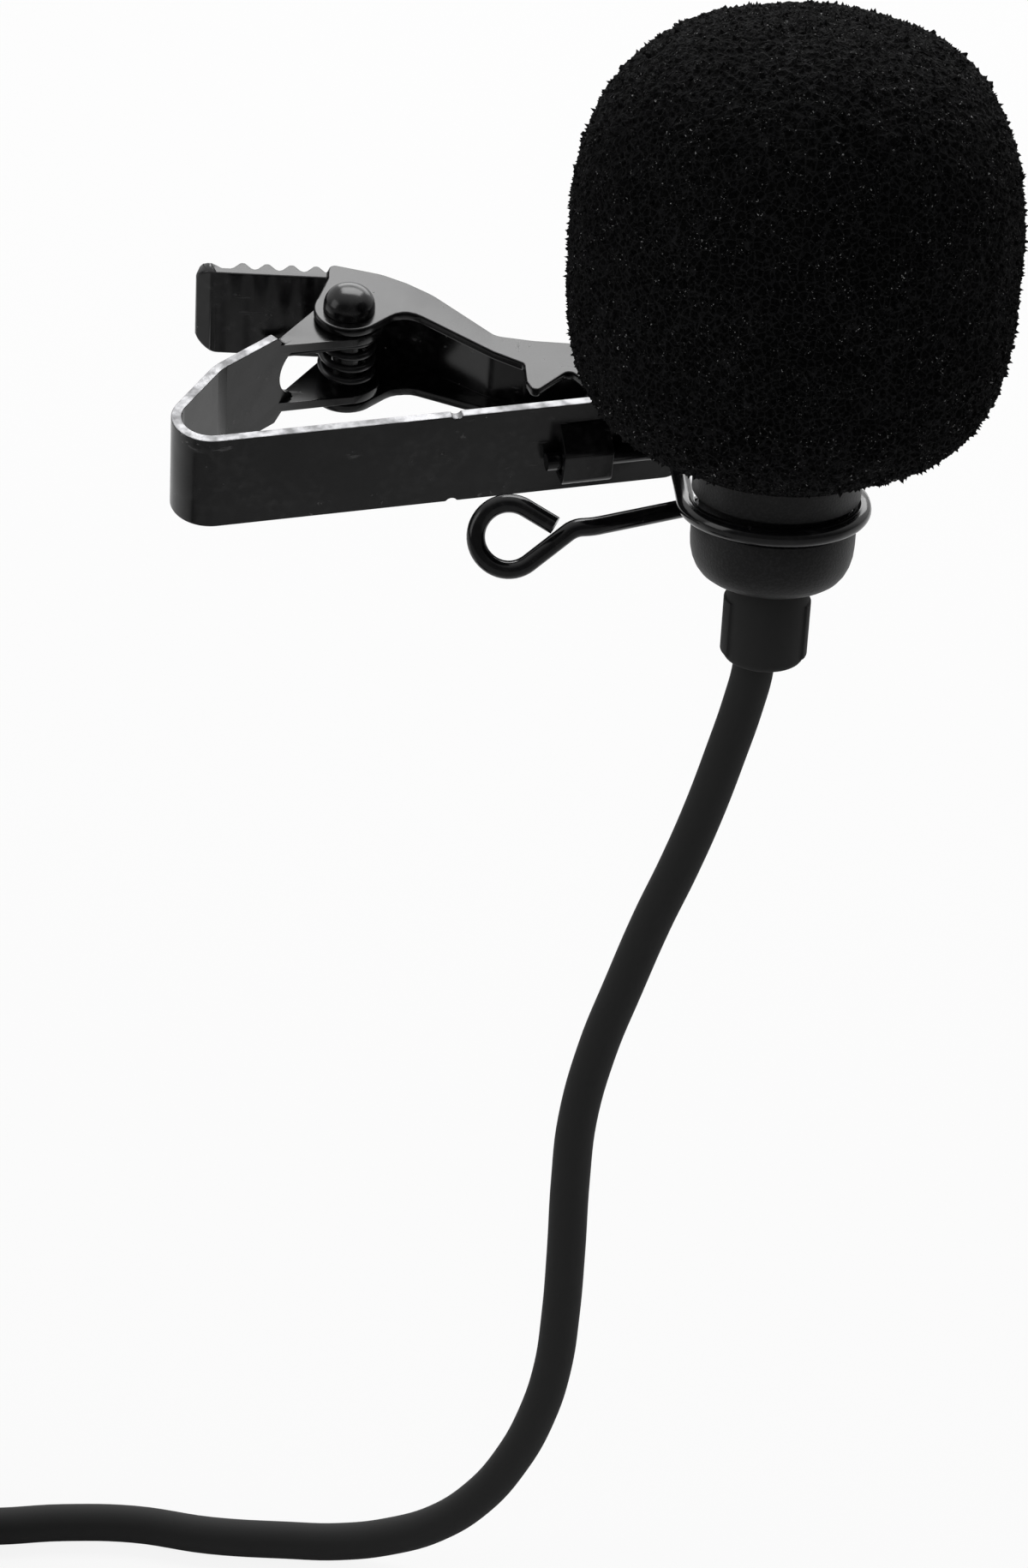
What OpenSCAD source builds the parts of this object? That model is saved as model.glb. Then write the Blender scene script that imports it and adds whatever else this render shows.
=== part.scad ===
// Lavalier microphone: a foam windscreen on a small capsule, held by a bent wire in a
// sprung tie clip, with its strain relief, a cord wound in a tied coil and a stereo jack.
// Origin: between the tips of the clip's jaws. +Z runs along the microphone's own axis,
// +X points from the clip's thumb plate to its tips, and +Y from the front arm to the rear.

/* [Windscreen] */
// Diameter of the foam at its belly
foam_d = 25.1; // [20:0.1:32]
// Height of the foam from its mouth to its crown
foam_h = 25.2; // [22:0.1:34]
// Height of the belly above the mouth
foam_belly_h = 11.4; // [8:0.1:14]
// Squareness of the shoulder above the belly, 2 being an ellipse
foam_shoulder_power = 2.75; // [2:0.05:4]
// Squareness of the turn under the belly
foam_skirt_power = 3; // [2:0.05:4]
// Depth of the socket that takes the capsule
foam_socket_depth = 13.2; // [8:0.1:18]

/* [Capsule housing] */
// Outer diameter of the capsule housing
body_d = 9.66; // [9:0.02:12]
// Wall of the capsule housing
body_wall = 0.8; // [0.6:0.05:1.2]
// Diameter of the groove that the wire ring grips
groove_d = 8.72; // [8:0.02:9.4]
// Height of that groove
groove_h = 1.5; // [1.3:0.1:2.5]
// Length of housing between the groove and the foam
neck_show = 2.2; // [1:0.1:5]
// Diameter of the end cap
end_cap_d = 9.45; // [8.6:0.05:10]
// Height of the end cap
end_cap_h = 3.6; // [3:0.1:6]
// Diameter of the end cap's flat bottom
end_cap_foot_d = 7.6; // [6.6:0.1:8.4]
// Height of the end cap's rounded lower edge
end_cap_turn = 1.5; // [0.8:0.1:2.4]
// Height of the grille cap that closes the top
grille_h = 2.8; // [2:0.1:4]
// Diameter of each sound hole
sound_hole_d = 0.9; // [0.5:0.05:1.1]

/* [Capsule inside] */
// Diameter of the electret capsule
electret_d = 6; // [4:0.1:6.4]
// Height of the electret capsule
electret_h = 3; // [2:0.1:4]
// Thickness of the round circuit board
board_t = 0.6; // [0.4:0.1:1]
// Diameter of each lead wire
lead_d = 0.7; // [0.4:0.05:0.9]

/* [Strain relief] */
// Diameter of the strain relief below the end cap
relief_d = 4.75; // [4:0.05:5.6]
// Length of the strain relief below the end cap
relief_len = 5.4; // [4:0.1:9]
// Radius of its rounded mouth
relief_round = 0.5; // [0.2:0.05:0.8]
// Thickness of the two mould pads on its sides
relief_pad_t = 0.15; // [0.1:0.05:0.3]

/* [Wire holder] */
// Diameter of the spring wire
wire_d = 1.07; // [0.8:0.01:1.2]
// Centre-line radius of the finger eye
eye_r = 1.87; // [1.5:0.01:2.2]

/* [Clip] */
// Thickness of the clip's sheet steel
sheet_t = 0.6; // [0.4:0.05:0.8]
// Width of the clip's strip, along the rivet
strip_w = 6.3; // [6:0.1:8]
// Outer radius of the front arm's bend
bend_r = 2.3; // [1.8:0.1:2.8]
// Length of the front arm from its bend to its tip
front_len = 28.2; // [28:0.1:31]
// Radius of the round ears at the rivet
ear_r = 2.1; // [1.9:0.05:2.4]
// Height of the rear jaw's channel at its nose
nose_w = 4.9; // [4.4:0.1:6]
// Pitch of the rear jaw's three teeth
tooth_pitch = 3.9; // [3.4:0.1:4.2]
// Depth of the rear jaw's teeth
tooth_depth = 2.2; // [1.2:0.1:2.8]
// Number of ridges pressed into the thumb plate
ridge_count = 4; // [2:1:5]
// Pitch of those ridges
ridge_pitch = 1.47; // [1.2:0.01:1.6]
// Height of those ridges
ridge_h = 0.65; // [0.3:0.05:0.9]
// Width of the tongue that holds the wire
tongue_w = 3; // [2:0.1:4]

/* [Rivet and spring] */
// Diameter of the rivet's shank
shank_d = 1.8; // [1.4:0.05:2]
// Diameter of the rivet's domed head
head_d = 3.1; // [2.6:0.1:4]
// Height of the rivet's domed head
head_h = 1.35; // [0.8:0.05:1.8]
// Diameter of the return spring's wire
spring_wire_d = 0.47; // [0.4:0.01:0.5]
// Outer diameter of the return spring
spring_d = 3.5; // [3.3:0.1:3.8]

/* [Cord] */
// Diameter of the cord
cord_d = 2.45; // [2:0.05:2.8]
// Clear gap between neighbouring turns of the coil
coil_gap = 0.45; // [0.41:0.01:0.6]
// Centre-line radius of the coil's outermost turn
coil_outer_r = 18.7; // [17:0.1:20]
// Width of the hook-and-loop tie
tie_w = 8; // [5:0.5:10]
// Thickness of the tie
tie_t = 0.8; // [0.5:0.1:1.2]

/* [Jack plug] */
// Diameter of the plug's pin, which its socket fixes
pin_d = 3.5; // [3.5:0.1:3.6]
// Length of the plug's pin
pin_len = 14; // [13:0.5:15]
// Diameter of the plug's shell
shell_d = 6.6; // [6:0.1:7.6]
// Length of the plug's shell
shell_len = 17; // [14:0.5:24]
// Length of the plug's bend relief
plug_relief_len = 9; // [6:0.5:14]

/* [Clearances] */
// Radial gap of a running or seated fit
fit = 0.05; // [0.03:0.01:0.08]
// Gap between pieces that must never touch
gap = 0.1; // [0.08:0.01:0.2]

/* [Hidden] */
$fn = 64;
e = 0.01;

// ---- Places of the two assemblies -------------------------------------------------

// Ring plane of the microphone on its own axis, seen from the jaws' grip
mic_at = [6, -9.9, -0.3];
// How the clip is swung on the wire
clip_tilt = [16, 1, 2];
// Rivet axis, seen from the jaws' grip, in the clip's own axes
pivot_at = [-18.85, 6.05, 0];

// ---- Capsule levels, measured from the ring plane ---------------------------------

groove_top = groove_h / 2;
groove_floor = -groove_h / 2;
foam_floor = groove_top + neck_show;
housing_roof = foam_floor + foam_socket_depth - fit;
body_roof = housing_roof - grille_h;
end_cap_floor = groove_floor - end_cap_h;
relief_floor = end_cap_floor - relief_len;
body_bore_r = body_d / 2 - body_wall;
groove_bore_r = groove_d / 2 - body_wall;
grille_skin = 0.7;
rim_depth = 1.5;
rim_wall = 0.6;
electret_floor = body_roof - rim_depth - gap - electret_h;
board_roof = electret_floor - 0.3;
board_floor = board_roof - board_t;
cloth_t = 0.25;
collar_h = 0.9;
collar_r = relief_d / 2 + 0.35;
relief_neck_r = relief_d / 2 - 0.4;
foot_wall = 1.5;
relief_roof = end_cap_floor + foot_wall + collar_h;
lead_spread = electret_d / 5;

// ---- Clip levels and outlines, measured from the rivet axis -----------------------

strip_half = strip_w / 2;
nose_half = nose_w / 2;
ear_roof = strip_half - sheet_t - gap;
ear_floor = ear_roof - sheet_t;
// Direction of the front arm in the clip's plan, and the centre of its bend
front_az = 13.5;
bend_at = [-7.75, -10.95];
// The strip comes back from the bend in two runs: their directions and lengths
return_az = [62, 45];
return_runs = [3.7, 5.4];
return_bend_r = 3;
wire_r = wire_d / 2;
// Distance of the tongue's middle from the bend, along the front arm
tongue_at = 21.7;
tongue_t = 0.5;
// Tongue's root and wire axis below the strip's top edge
tongue_drop = 1.3;
wire_drop = 3.6;
wire_level = strip_half - wire_drop;
wire_out = -bend_r - fit - wire_r;
// Inner face of the rear jaw's thumb plate, and the ends of its ridged stretch
plate_y = 3.1;
plate_half = strip_half - 0.15;
ridges_to = -1.3;
ridges_from = ridges_to - ridge_count * ridge_pitch;
// First tooth, and the plan level of the tooth tips
tooth_x = 10.95;
tooth_tip_y = front_inner_y(tooth_x + 2 * tooth_pitch) + gap;
tooth_root_y = tooth_tip_y + tooth_depth;

// ---- Cord: its route runs from the strain relief, in the microphone's own frame ----

cord_r = cord_d / 2;
table_level = -79.2;
cord_level = table_level + cord_r;
coil_pitch = cord_d + coil_gap;
coil_layers = 4;
turns_per_layer = 2.75;
coil_turns = coil_layers * turns_per_layer;
coil_at = [-66, -12];
coil_level = cord_level + tie_t + 2 * gap;
coil_roof_level = coil_level + (coil_layers - 1) * coil_pitch;
coil_inner_r = coil_outer_r - turns_per_layer * coil_pitch;
coil_edge_y = coil_at.y + coil_outer_r;
rings_per_turn = 24;
cable_route = [
    [-0.5, 0, relief_floor],
    [-0.5, 0, relief_floor - 0.6],
    [-0.9, 0.1, -12.8],
    [-1.7, 0.2, -16.2],
    [-2.7, 0.4, -20.1],
    [-3.9, 0.6, -24],
    [-5.3, 0.8, -28],
    [-6.7, 1, -32.6],
    [-8.1, 1.3, -37.6],
    [-9, 1.4, -42.6],
    [-9.2, 1.5, -47.2],
    [-9.2, 1.5, -52.6],
    [-9.3, 1.5, -57.4],
    [-9.6, 1.5, -61.4],
    [-10.4, 1.6, -65.2],
    [-11.9, 1.9, -69.2],
    [-14, 2.2, -72.6],
    [-16.6, 2.6, -75.1],
    [-19.6, 3.1, -76.7],
    [-23, 3.6, -77.7],
    [-26.6, 3.9, cord_level],
    [-31.6, 4.1, cord_level],
    [-36.8, 5, cord_level],
    [-41.4, 4.9, cord_level],
    [-46.6, 4.2, cord_level],
    [-52.6, 4.4, cord_level + 0.2],
    [-58.4, 5.9, coil_level - 0.2],
    [coil_at.x + cord_d, coil_edge_y, coil_level]
];
// The plug lies on the coil's last turns
plug_level = coil_roof_level + cord_r + gap + shell_d / 2;
plug_az = 270;
plug_at = [-79.5, -4.1, plug_level];
tail_route = [
    [coil_at.x - cord_d, coil_edge_y, coil_roof_level],
    [-72.6, 6.1, -68],
    [-75.8, 4.5, -66.9],
    [-78, 2.5, -65.4],
    [-79.2, 0.3, -64.3],
    [-79.5, -1.7, -63.7],
    plug_at
];

// ---- Jack plug, measured from the cord's end along the plug ------------------------

insulator_t = 0.4;
ring_len = 2.4;
tip_len = 3.6;
sleeve_len = pin_len - tip_len - ring_len - 2 * insulator_t;
tip_core_r = 0.45;
ring_core_r = 0.85;
lining_r = 1.15;
sleeve_root_r = lining_r + 0.25;
pin_r = pin_d / 2;
shell_start = plug_relief_len;
pin_start = shell_start + shell_len;
ring_start = pin_start + sleeve_len + insulator_t;
tip_start = ring_start + ring_len + insulator_t;
shell_wall = 1.2;

// ---- Helpers -----------------------------------------------------------------------

function unit(v) = v / norm(v);
function ease(t) = let (c = min(1, max(0, t))) c * c * (3 - 2 * c);
function plan_dir(az) = [cos(az), sin(az)];

// Outline through corners [x, y, radius], each rounded by an arc of a few chords
function rounded(corners, steps = 5) = [
    for (i = [0:len(corners) - 1])
        let (
            n = len(corners),
            p = [corners[i].x, corners[i].y],
            q = corners[(i + n - 1) % n],
            s = corners[(i + 1) % n],
            r = corners[i][2],
            u = unit([q.x, q.y] - p),
            w = unit([s.x, s.y] - p),
            half = acos(min(1, max(-1, u * w))) / 2,
            mid = p + unit(u + w) * r / sin(half),
            from = atan2(-(u + w).y, -(u + w).x),
            sweep = (90 - half) * sign(u.x * w.y - u.y * w.x)
        )
        each r == 0 ? [p] : [for (k = [-steps:2:steps])
            mid + r * plan_dir(from - sweep * k / steps)]
];

// Heading of a route at each point, with its first and last heading given
function headings(route, first, final) =
    let (last = len(route) - 1)
    [for (i = [0:last]) i == 0 ? first : i == last ? final : unit(route[i + 1] - route[i - 1])];

// One ring of a swept tube
function tube_ring(at, h, up, r, sides) =
    let (a = unit(cross(h, up)), b = cross(a, h))
    [for (k = [0:sides - 1]) at + r * (cos(360 * k / sides) * a + sin(360 * k / sides) * b)];

// A tube through points with a heading at each, its rings kept square to the headings
module swept_tube(points, dirs, up, r, sides) {
    last = len(points) - 1;
    rings = [for (i = [0:last]) each tube_ring(points[i], dirs[i], up, r, sides)];
    walls = [for (i = [0:last - 1], k = [0:sides - 1])
        let (a = i * sides + k, b = i * sides + (k + 1) % sides)
        each [[a, b, b + sides], [a, b + sides, a + sides]]];
    far = last * sides;
    start = [for (k = [1:sides - 2]) [0, k + 1, k]];
    finish = [for (k = [1:sides - 2]) [far, far + k, far + k + 1]];
    polyhedron(points = rings, faces = concat(walls, start, finish), convexity = 12);
}

// Least clear gap of a wound tube to itself, leaving out its nearest half turn
function self_gap(points, d, skip) =
    min([for (i = [0:len(points) - 1], j = [i + skip:1:len(points) - 1])
        norm(points[i] - points[j])]) - d;

// A cylinder from a point along a direction
module rod(from, dir, length, r) {
    translate(from)
        rotate([0, acos(dir.z), atan2(dir.y, dir.x)])
            cylinder(r = r, h = length);
}

function leg_dir(path, i) = unit(path[i + 1][0] - path[i][0]);
// Length that the bend at corner i takes from each of its two legs
function bend_reach(path, i) = path[i][1] * tan(acos(leg_dir(path, i - 1) * leg_dir(path, i)) / 2);

// One bend of a wire at a corner, from heading u to heading w
module wire_bend(corner, u, w, bend_radius, r) {
    turn = acos(u * w);
    axis = unit(cross(u, w));
    out = cross(u, axis);
    centre = corner - u * bend_radius * tan(turn / 2) - out * bend_radius;
    multmatrix([
        [out.x, u.x, axis.x, centre.x],
        [out.y, u.y, axis.y, centre.y],
        [out.z, u.z, axis.z, centre.z],
        [0, 0, 0, 1]
    ])
        rotate_extrude(angle = turn)
            translate([bend_radius, 0])
                circle(r = r);
}

// A round wire through corners [point, bend radius], tangent all the way. Its straight
// legs are a hair thinner and run a little way into the bends, so that all is one solid.
module bent_wire(path, r) {
    last = len(path) - 1;
    seam = 2 * e;
    for (i = [0:last - 1]) {
        near = i == 0 ? 0 : bend_reach(path, i) - seam;
        far = i + 1 == last ? 0 : bend_reach(path, i + 1) - seam;
        rod(path[i][0] + leg_dir(path, i) * near, leg_dir(path, i),
            norm(path[i + 1][0] - path[i][0]) - near - far, r - e / 4);
    }
    for (i = [1:last - 1])
        wire_bend(path[i][0], leg_dir(path, i - 1), leg_dir(path, i), path[i][1], r);
}

// One face of strip steel bent to its right, lifted off its inner face: each step is
// [run, turn, inner radius], and the last one has no turn
bend_chords = 24;
function strip_face(steps, lift, at = [0, 0], az = 0, i = 0) =
    let (
        run = steps[i][0],
        turn = steps[i][1],
        r_in = steps[i][2],
        end = at + run * plan_dir(az),
        hub = end - r_in * plan_dir(az + 90)
    )
    turn == 0 ? [end + lift * plan_dir(az + 90)] : concat(
        [for (k = [0:bend_chords])
            hub + (r_in + lift) * plan_dir(az + 90 - turn * k / bend_chords)],
        strip_face(steps, lift, hub + r_in * plan_dir(az + 90 - turn), az - turn, i + 1)
    );

module formed_strip(steps, width) {
    inner = concat([[0, 0]], strip_face(steps, 0));
    outer = concat([[0, sheet_t]], strip_face(steps, sheet_t));
    linear_extrude(width, center = true)
        polygon(concat(inner, [for (i = [len(outer) - 1:-1:0]) outer[i]]));
}

function turn_x(p, a) = [p.x, p.y * cos(a) - p.z * sin(a), p.y * sin(a) + p.z * cos(a)];
function turn_y(p, a) = [p.x * cos(a) + p.z * sin(a), p.y, p.z * cos(a) - p.x * sin(a)];
function turn_z(p, a) = [p.x * cos(a) - p.y * sin(a), p.x * sin(a) + p.y * cos(a), p.z];

// A point of the clip, given from the rivet axis, as the microphone's own frame sees it
function clip_point(p) =
    turn_z(turn_y(turn_x(p + pivot_at, clip_tilt.x), clip_tilt.y), clip_tilt.z) - mic_at;
// A point beside the front arm: along it from its bend, away from the viewer, and up
function arm_point(along, away, up) =
    clip_point([bend_at.x, bend_at.y, 0] + turn_z([along, away, up], front_az));
// Plan level of the front arm's inner face at x
function front_inner_y(x) =
    bend_at.y + (x - bend_at.x) * tan(front_az) - (bend_r - sheet_t) / cos(front_az);
// Point where a line from p touches a circle of radius r round the rivet
function touch_point(p, r, side) = r * plan_dir(atan2(p.y, p.x) + side * acos(r / norm(p)));

module on_mic_axis() {
    translate(mic_at)
        children();
}

module on_clip() {
    rotate(clip_tilt)
        translate(pivot_at)
            children();
}

module on_front_arm() {
    translate([bend_at.x, bend_at.y, 0])
        rotate(front_az)
            children();
}

// ---- Windscreen --------------------------------------------------------------------

foam_mouth_r = body_d / 2 + fit;
// Foam outline from pole to pole: a power curve above the belly and another below it
function foam_point(a, height, power) =
    [foam_d / 2 * pow(cos(a), 2 / power), height * pow(sin(a), 2 / power)];
foam_outline = concat(
    [for (a = [90:-5:5]) foam_point(a, foam_h - foam_belly_h, foam_shoulder_power)],
    [for (a = [0:5:90]) let (p = foam_point(a, foam_belly_h, foam_skirt_power)) [p.x, -p.y]]
);

module windscreen() {
    mouth_round = 0.6;
    color("#101010")
        on_mic_axis()
            translate([0, 0, foam_floor])
                difference() {
                    translate([0, 0, foam_belly_h])
                        rotate_extrude()
                            polygon(foam_outline);
                    translate([0, 0, -e])
                        cylinder(r = foam_mouth_r, h = foam_socket_depth + e);
                    translate([0, 0, -e])
                        cylinder(r1 = foam_mouth_r + 2 * mouth_round, r2 = foam_mouth_r,
                            h = 2 * mouth_round);
                }
}

// ---- Capsule housing ---------------------------------------------------------------

module sound_holes() {
    rows = 2;
    row_step = (body_bore_r - fit - rim_wall - sound_hole_d / 2) / (rows + 0.2);
    cylinder(d = sound_hole_d, h = grille_skin * 4, center = true);
    for (row = [1:rows], k = [1:6 * row])
        rotate(60 * k / row)
            translate([row * row_step, 0, 0])
                cylinder(d = sound_hole_d, h = grille_skin * 4, center = true);
}

module grille_cap() {
    edge = 0.6;
    color("#1b1b1c")
        on_mic_axis()
            difference() {
                union() {
                    translate([0, 0, body_roof])
                        cylinder(d = body_d, h = grille_h - edge);
                    translate([0, 0, housing_roof - edge])
                        cylinder(d1 = body_d, d2 = body_d - 2 * edge, h = edge);
                    translate([0, 0, body_roof - rim_depth])
                        cylinder(r = body_bore_r - fit, h = rim_depth + e);
                }
                translate([0, 0, body_roof - rim_depth - e])
                    cylinder(r = body_bore_r - fit - rim_wall,
                        h = rim_depth + grille_h - grille_skin + e);
                translate([0, 0, housing_roof])
                    sound_holes();
            }
}

module acoustic_cloth() {
    color("#303032")
        on_mic_axis()
            translate([0, 0, housing_roof - grille_skin - cloth_t])
                cylinder(r = body_bore_r - 2 * fit - rim_wall, h = cloth_t);
}

module capsule_body() {
    color("#1d1d1e")
        on_mic_axis()
            difference() {
                union() {
                    translate([0, 0, groove_floor])
                        cylinder(d = groove_d, h = groove_h + e);
                    translate([0, 0, groove_top])
                        cylinder(d = body_d, h = body_roof - groove_top);
                }
                translate([0, 0, groove_floor - e])
                    cylinder(r = groove_bore_r, h = body_roof - groove_floor + 2 * e);
                translate([0, 0, groove_top + body_wall])
                    cylinder(r = body_bore_r, h = body_roof - groove_top);
            }
}

module capsule_gasket() {
    color("#2a2a2c")
        on_mic_axis()
            translate([0, 0, electret_floor])
                difference() {
                    cylinder(r = body_bore_r - fit, h = electret_h);
                    translate([0, 0, -e])
                        cylinder(d = electret_d + 2 * fit, h = electret_h + 2 * e);
                }
}

module microphone_capsule() {
    dish = 0.2;
    color("#b9bbbd")
        on_mic_axis()
            translate([0, 0, electret_floor])
                difference() {
                    cylinder(d = electret_d, h = electret_h);
                    translate([0, 0, electret_h - dish])
                        cylinder(d = electret_d / 3, h = dish + e);
                }
}

module capsule_board() {
    color("#1f5a35")
        on_mic_axis() {
            translate([0, 0, board_floor])
                cylinder(d = electret_d - 0.2, h = board_t);
            for (side = [-1, 1])
                translate([side * lead_spread, 0, board_roof - e])
                    cylinder(d = lead_d, h = electret_floor - board_roof + e);
        }
}

module lead_wires() {
    knee = (relief_roof + board_floor) / 2;
    root = lead_d * 0.8;
    color("#c03028")
        on_mic_axis()
            for (side = [-1, 1])
                bent_wire([
                    [[side * root, 0, relief_roof], 0],
                    [[side * root, 0, knee - 1.5], 1],
                    [[side * lead_spread, 0, knee + 1.5], 1],
                    [[side * lead_spread, 0, board_floor], 0]
                ], lead_d / 2);
}

module end_cap() {
    foot_r = end_cap_foot_d / 2;
    cap_r = end_cap_d / 2;
    spigot_r = groove_bore_r - fit;
    spigot_roof = end_cap_h + groove_h;
    pocket_roof = foot_wall + collar_h + 2 * gap;
    color("#19191a")
        on_mic_axis()
            translate([0, 0, end_cap_floor])
                rotate_extrude()
                    polygon(concat(
                        [[relief_neck_r + fit, 0]],
                        [for (a = [0:15:90])
                            [foot_r + (cap_r - foot_r) * sin(a), end_cap_turn * (1 - cos(a))]],
                        [
                            [cap_r, end_cap_h],
                            [spigot_r, end_cap_h],
                            [spigot_r, spigot_roof],
                            [spigot_r - rim_wall, spigot_roof],
                            [spigot_r - rim_wall, pocket_roof],
                            [collar_r + fit, pocket_roof],
                            [collar_r + fit, foot_wall],
                            [relief_neck_r + fit, foot_wall]
                        ]
                    ));
}

module strain_relief() {
    r = relief_d / 2;
    pad_len = relief_len * 0.62;
    color("#161617")
        on_mic_axis()
            translate([0, 0, relief_floor]) {
                rotate_extrude()
                    polygon(concat(
                        [[0, 0]],
                        [for (a = [0:15:90])
                            [r - relief_round * (1 - sin(a)), relief_round * (1 - cos(a))]],
                        [
                            [r, relief_len],
                            [relief_neck_r, relief_len],
                            [relief_neck_r, relief_len + foot_wall],
                            [collar_r, relief_len + foot_wall],
                            [collar_r, relief_len + foot_wall + collar_h],
                            [0, relief_len + foot_wall + collar_h]
                        ]
                    ));
                intersection() {
                    translate([0, 0, relief_round])
                        cylinder(r = r + relief_pad_t, h = pad_len);
                    translate([0, 0, relief_round + pad_len / 2])
                        cube([relief_d * 1.5, relief_d / 2, pad_len], center = true);
                }
            }
}

// ---- Clip --------------------------------------------------------------------------

// The front arm's strip, drawn from its tip back to the ears
module front_strip() {
    on_front_arm()
        translate([front_len, sheet_t - bend_r, 0])
            rotate(180)
                formed_strip([
                    [front_len, 180 + front_az - return_az[0], bend_r - sheet_t],
                    [return_runs[0], return_az[0] - return_az[1], return_bend_r],
                    [return_runs[1], 0, 0]
                ], strip_w);
}

// End of the strip's inner face, where the ears start
return_in_r = bend_r - sheet_t;
strip_end = bend_at
    + return_in_r * plan_dir(return_az[0] + 90)
    + return_runs[0] * plan_dir(return_az[0])
    + return_bend_r * (plan_dir(return_az[0] - 90) - plan_dir(return_az[1] - 90))
    + return_runs[1] * plan_dir(return_az[1]);
strip_end_outer = strip_end + sheet_t * plan_dir(return_az[1] + 90);

// One of the front arm's inner ears: a round lug that runs back into the strip's end
module inner_ear() {
    back = plan_dir(return_az[1]) * 2 * sheet_t;
    inset = plan_dir(return_az[1] + 90) * 0.05;
    root_outer = strip_end_outer - back - inset;
    root_inner = strip_end - back + inset;
    linear_extrude(sheet_t) {
        circle(r = ear_r);
        polygon([
            root_outer,
            root_inner,
            touch_point(root_inner, ear_r, 1),
            [0, 0],
            touch_point(root_outer, ear_r, -1)
        ]);
    }
}

// Room between the ears, let into the strip's end with a round bottom
module ear_window() {
    window_half = ear_floor - 0.1;
    translate([strip_end.x, strip_end.y, 0])
        rotate(return_az[1])
            translate([0.7, 0, 0])
                rotate([90, 0, 0])
                    cylinder(r = window_half, h = 4 * sheet_t, center = true);
}

// Top or bottom corner of the strip's end, taken down to the ears' level
module ear_step() {
    drop = strip_half - ear_roof;
    translate([strip_end.x, strip_end.y, 0])
        rotate(return_az[1])
            for (side = [-1, 1])
                rotate([90, 0, 0])
                    linear_extrude(4 * sheet_t, center = true)
                        polygon([
                            [-2 * drop, side * (strip_half + e)],
                            [-drop, side * ear_roof],
                            [e, side * ear_roof],
                            [e, side * (strip_half + e)]
                        ]);
}

// Profile of the tongue: out of the strip, round the wire and back
module tongue_profile() {
    front = wire_out - wire_r - fit;
    root = strip_half - tongue_drop;
    foot = wire_level - wire_r - 4 * fit;
    knee = wire_level + wire_r + 2 * fit;
    inset = 0.05;
    bite = 0.4;
    polygon(rounded([
        [-bend_r + sheet_t - inset, root + bite, 0],
        [-bend_r + inset, root + bite, 0],
        [-bend_r + inset, root - inset, 0],
        [front - tongue_t, knee + tongue_t, 0.5],
        [front - tongue_t, foot - tongue_t, 0.6],
        [-bend_r - fit, foot - tongue_t, 0],
        [-bend_r - fit, foot, 0],
        [front, foot, 0.25],
        [front, knee, 0.25],
        [-bend_r + sheet_t - inset, root - tongue_t * 1.6, 0]
    ]));
}

module tongue() {
    on_front_arm()
        translate([tongue_at - tongue_w / 2, 0, 0])
            rotate([90, 0, 90])
                linear_extrude(tongue_w)
                    tongue_profile();
}

module tongue_window() {
    side_room = 0.7;
    root = strip_half - tongue_drop;
    height = wire_drop - tongue_drop + wire_r + 4 * fit + tongue_t;
    on_front_arm()
        translate([tongue_at - tongue_w / 2 - side_room, -bend_r - e, root - height])
            cube([tongue_w + 2 * side_room, sheet_t + 2 * e, height]);
}

// Small nicks that the press left in both edges of the strip
module edge_nicks() {
    nick_r = 0.35;
    nick_depth = 0.2;
    for (side = [-1, 1])
        on_front_arm()
            translate([14, -bend_r, side * (strip_half + nick_r - nick_depth)])
                rotate([90, 0, 0])
                    cylinder(r = nick_r, h = 4 * sheet_t, center = true, $fn = 24);
}

// Rounded corners of the front arm's tip
module tip_corners() {
    corner_r = 1.2;
    on_front_arm()
        for (side = [-1, 1])
            translate([front_len - corner_r, -bend_r, side * (strip_half - corner_r)])
                rotate([90, 0, 0])
                    difference() {
                        translate([corner_r / 2 + e, side * (corner_r / 2 + e), 0])
                            cube([corner_r, corner_r, 4 * sheet_t], center = true);
                        cylinder(r = corner_r, h = 5 * sheet_t, center = true);
                    }
}

module front_arm() {
    color("#121214")
        on_clip() {
            difference() {
                union() {
                    difference() {
                        front_strip();
                        ear_step();
                        tongue_window();
                        edge_nicks();
                        tip_corners();
                    }
                    for (floor_level = [ear_floor, -ear_roof])
                        translate([0, 0, floor_level])
                            inner_ear();
                }
                ear_window();
                cylinder(d = shank_d + 2 * fit, h = strip_w, center = true);
            }
            tongue();
        }
}

// Plan of the rear jaw: its back, its teeth and its round ears
back_line = [
    [-1.3, 4.4, 0.4],
    [1.9, 3.6, 3],
    [5, 2.05, 4],
    [8.8, -1.05, 1.5],
    [11, -1.35, 4]
];
jaw_end_x = tooth_x + 2 * tooth_pitch + 0.8;

module jaw_plan() {
    circle(r = ear_r);
    polygon(rounded(concat(
        back_line,
        [
            [jaw_end_x - 0.2, -1.6, 0.9],
            [jaw_end_x, tooth_tip_y + 1.2, 0.3]
        ],
        [for (k = [2:-1:0]) each [
            [tooth_x + k * tooth_pitch, tooth_tip_y - 0.15, 0.35],
            k > 0 ? [tooth_x + (k - 0.45) * tooth_pitch, tooth_root_y, 0.45]
                : [tooth_x - 0.45, tooth_tip_y + 0.9, 0.3]
        ]],
        [
            [tooth_x - 0.55, tooth_root_y + 0.35, 0.3],
            [3.3, 0.25, 1.6],
            [ear_r * 0.72, -ear_r * 0.69, 0],
            [0, 0, 0],
            [-ear_r * 0.97, ear_r * 0.2, 0],
            [ridges_to, plate_y, 0]
        ]
    )));
}

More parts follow.
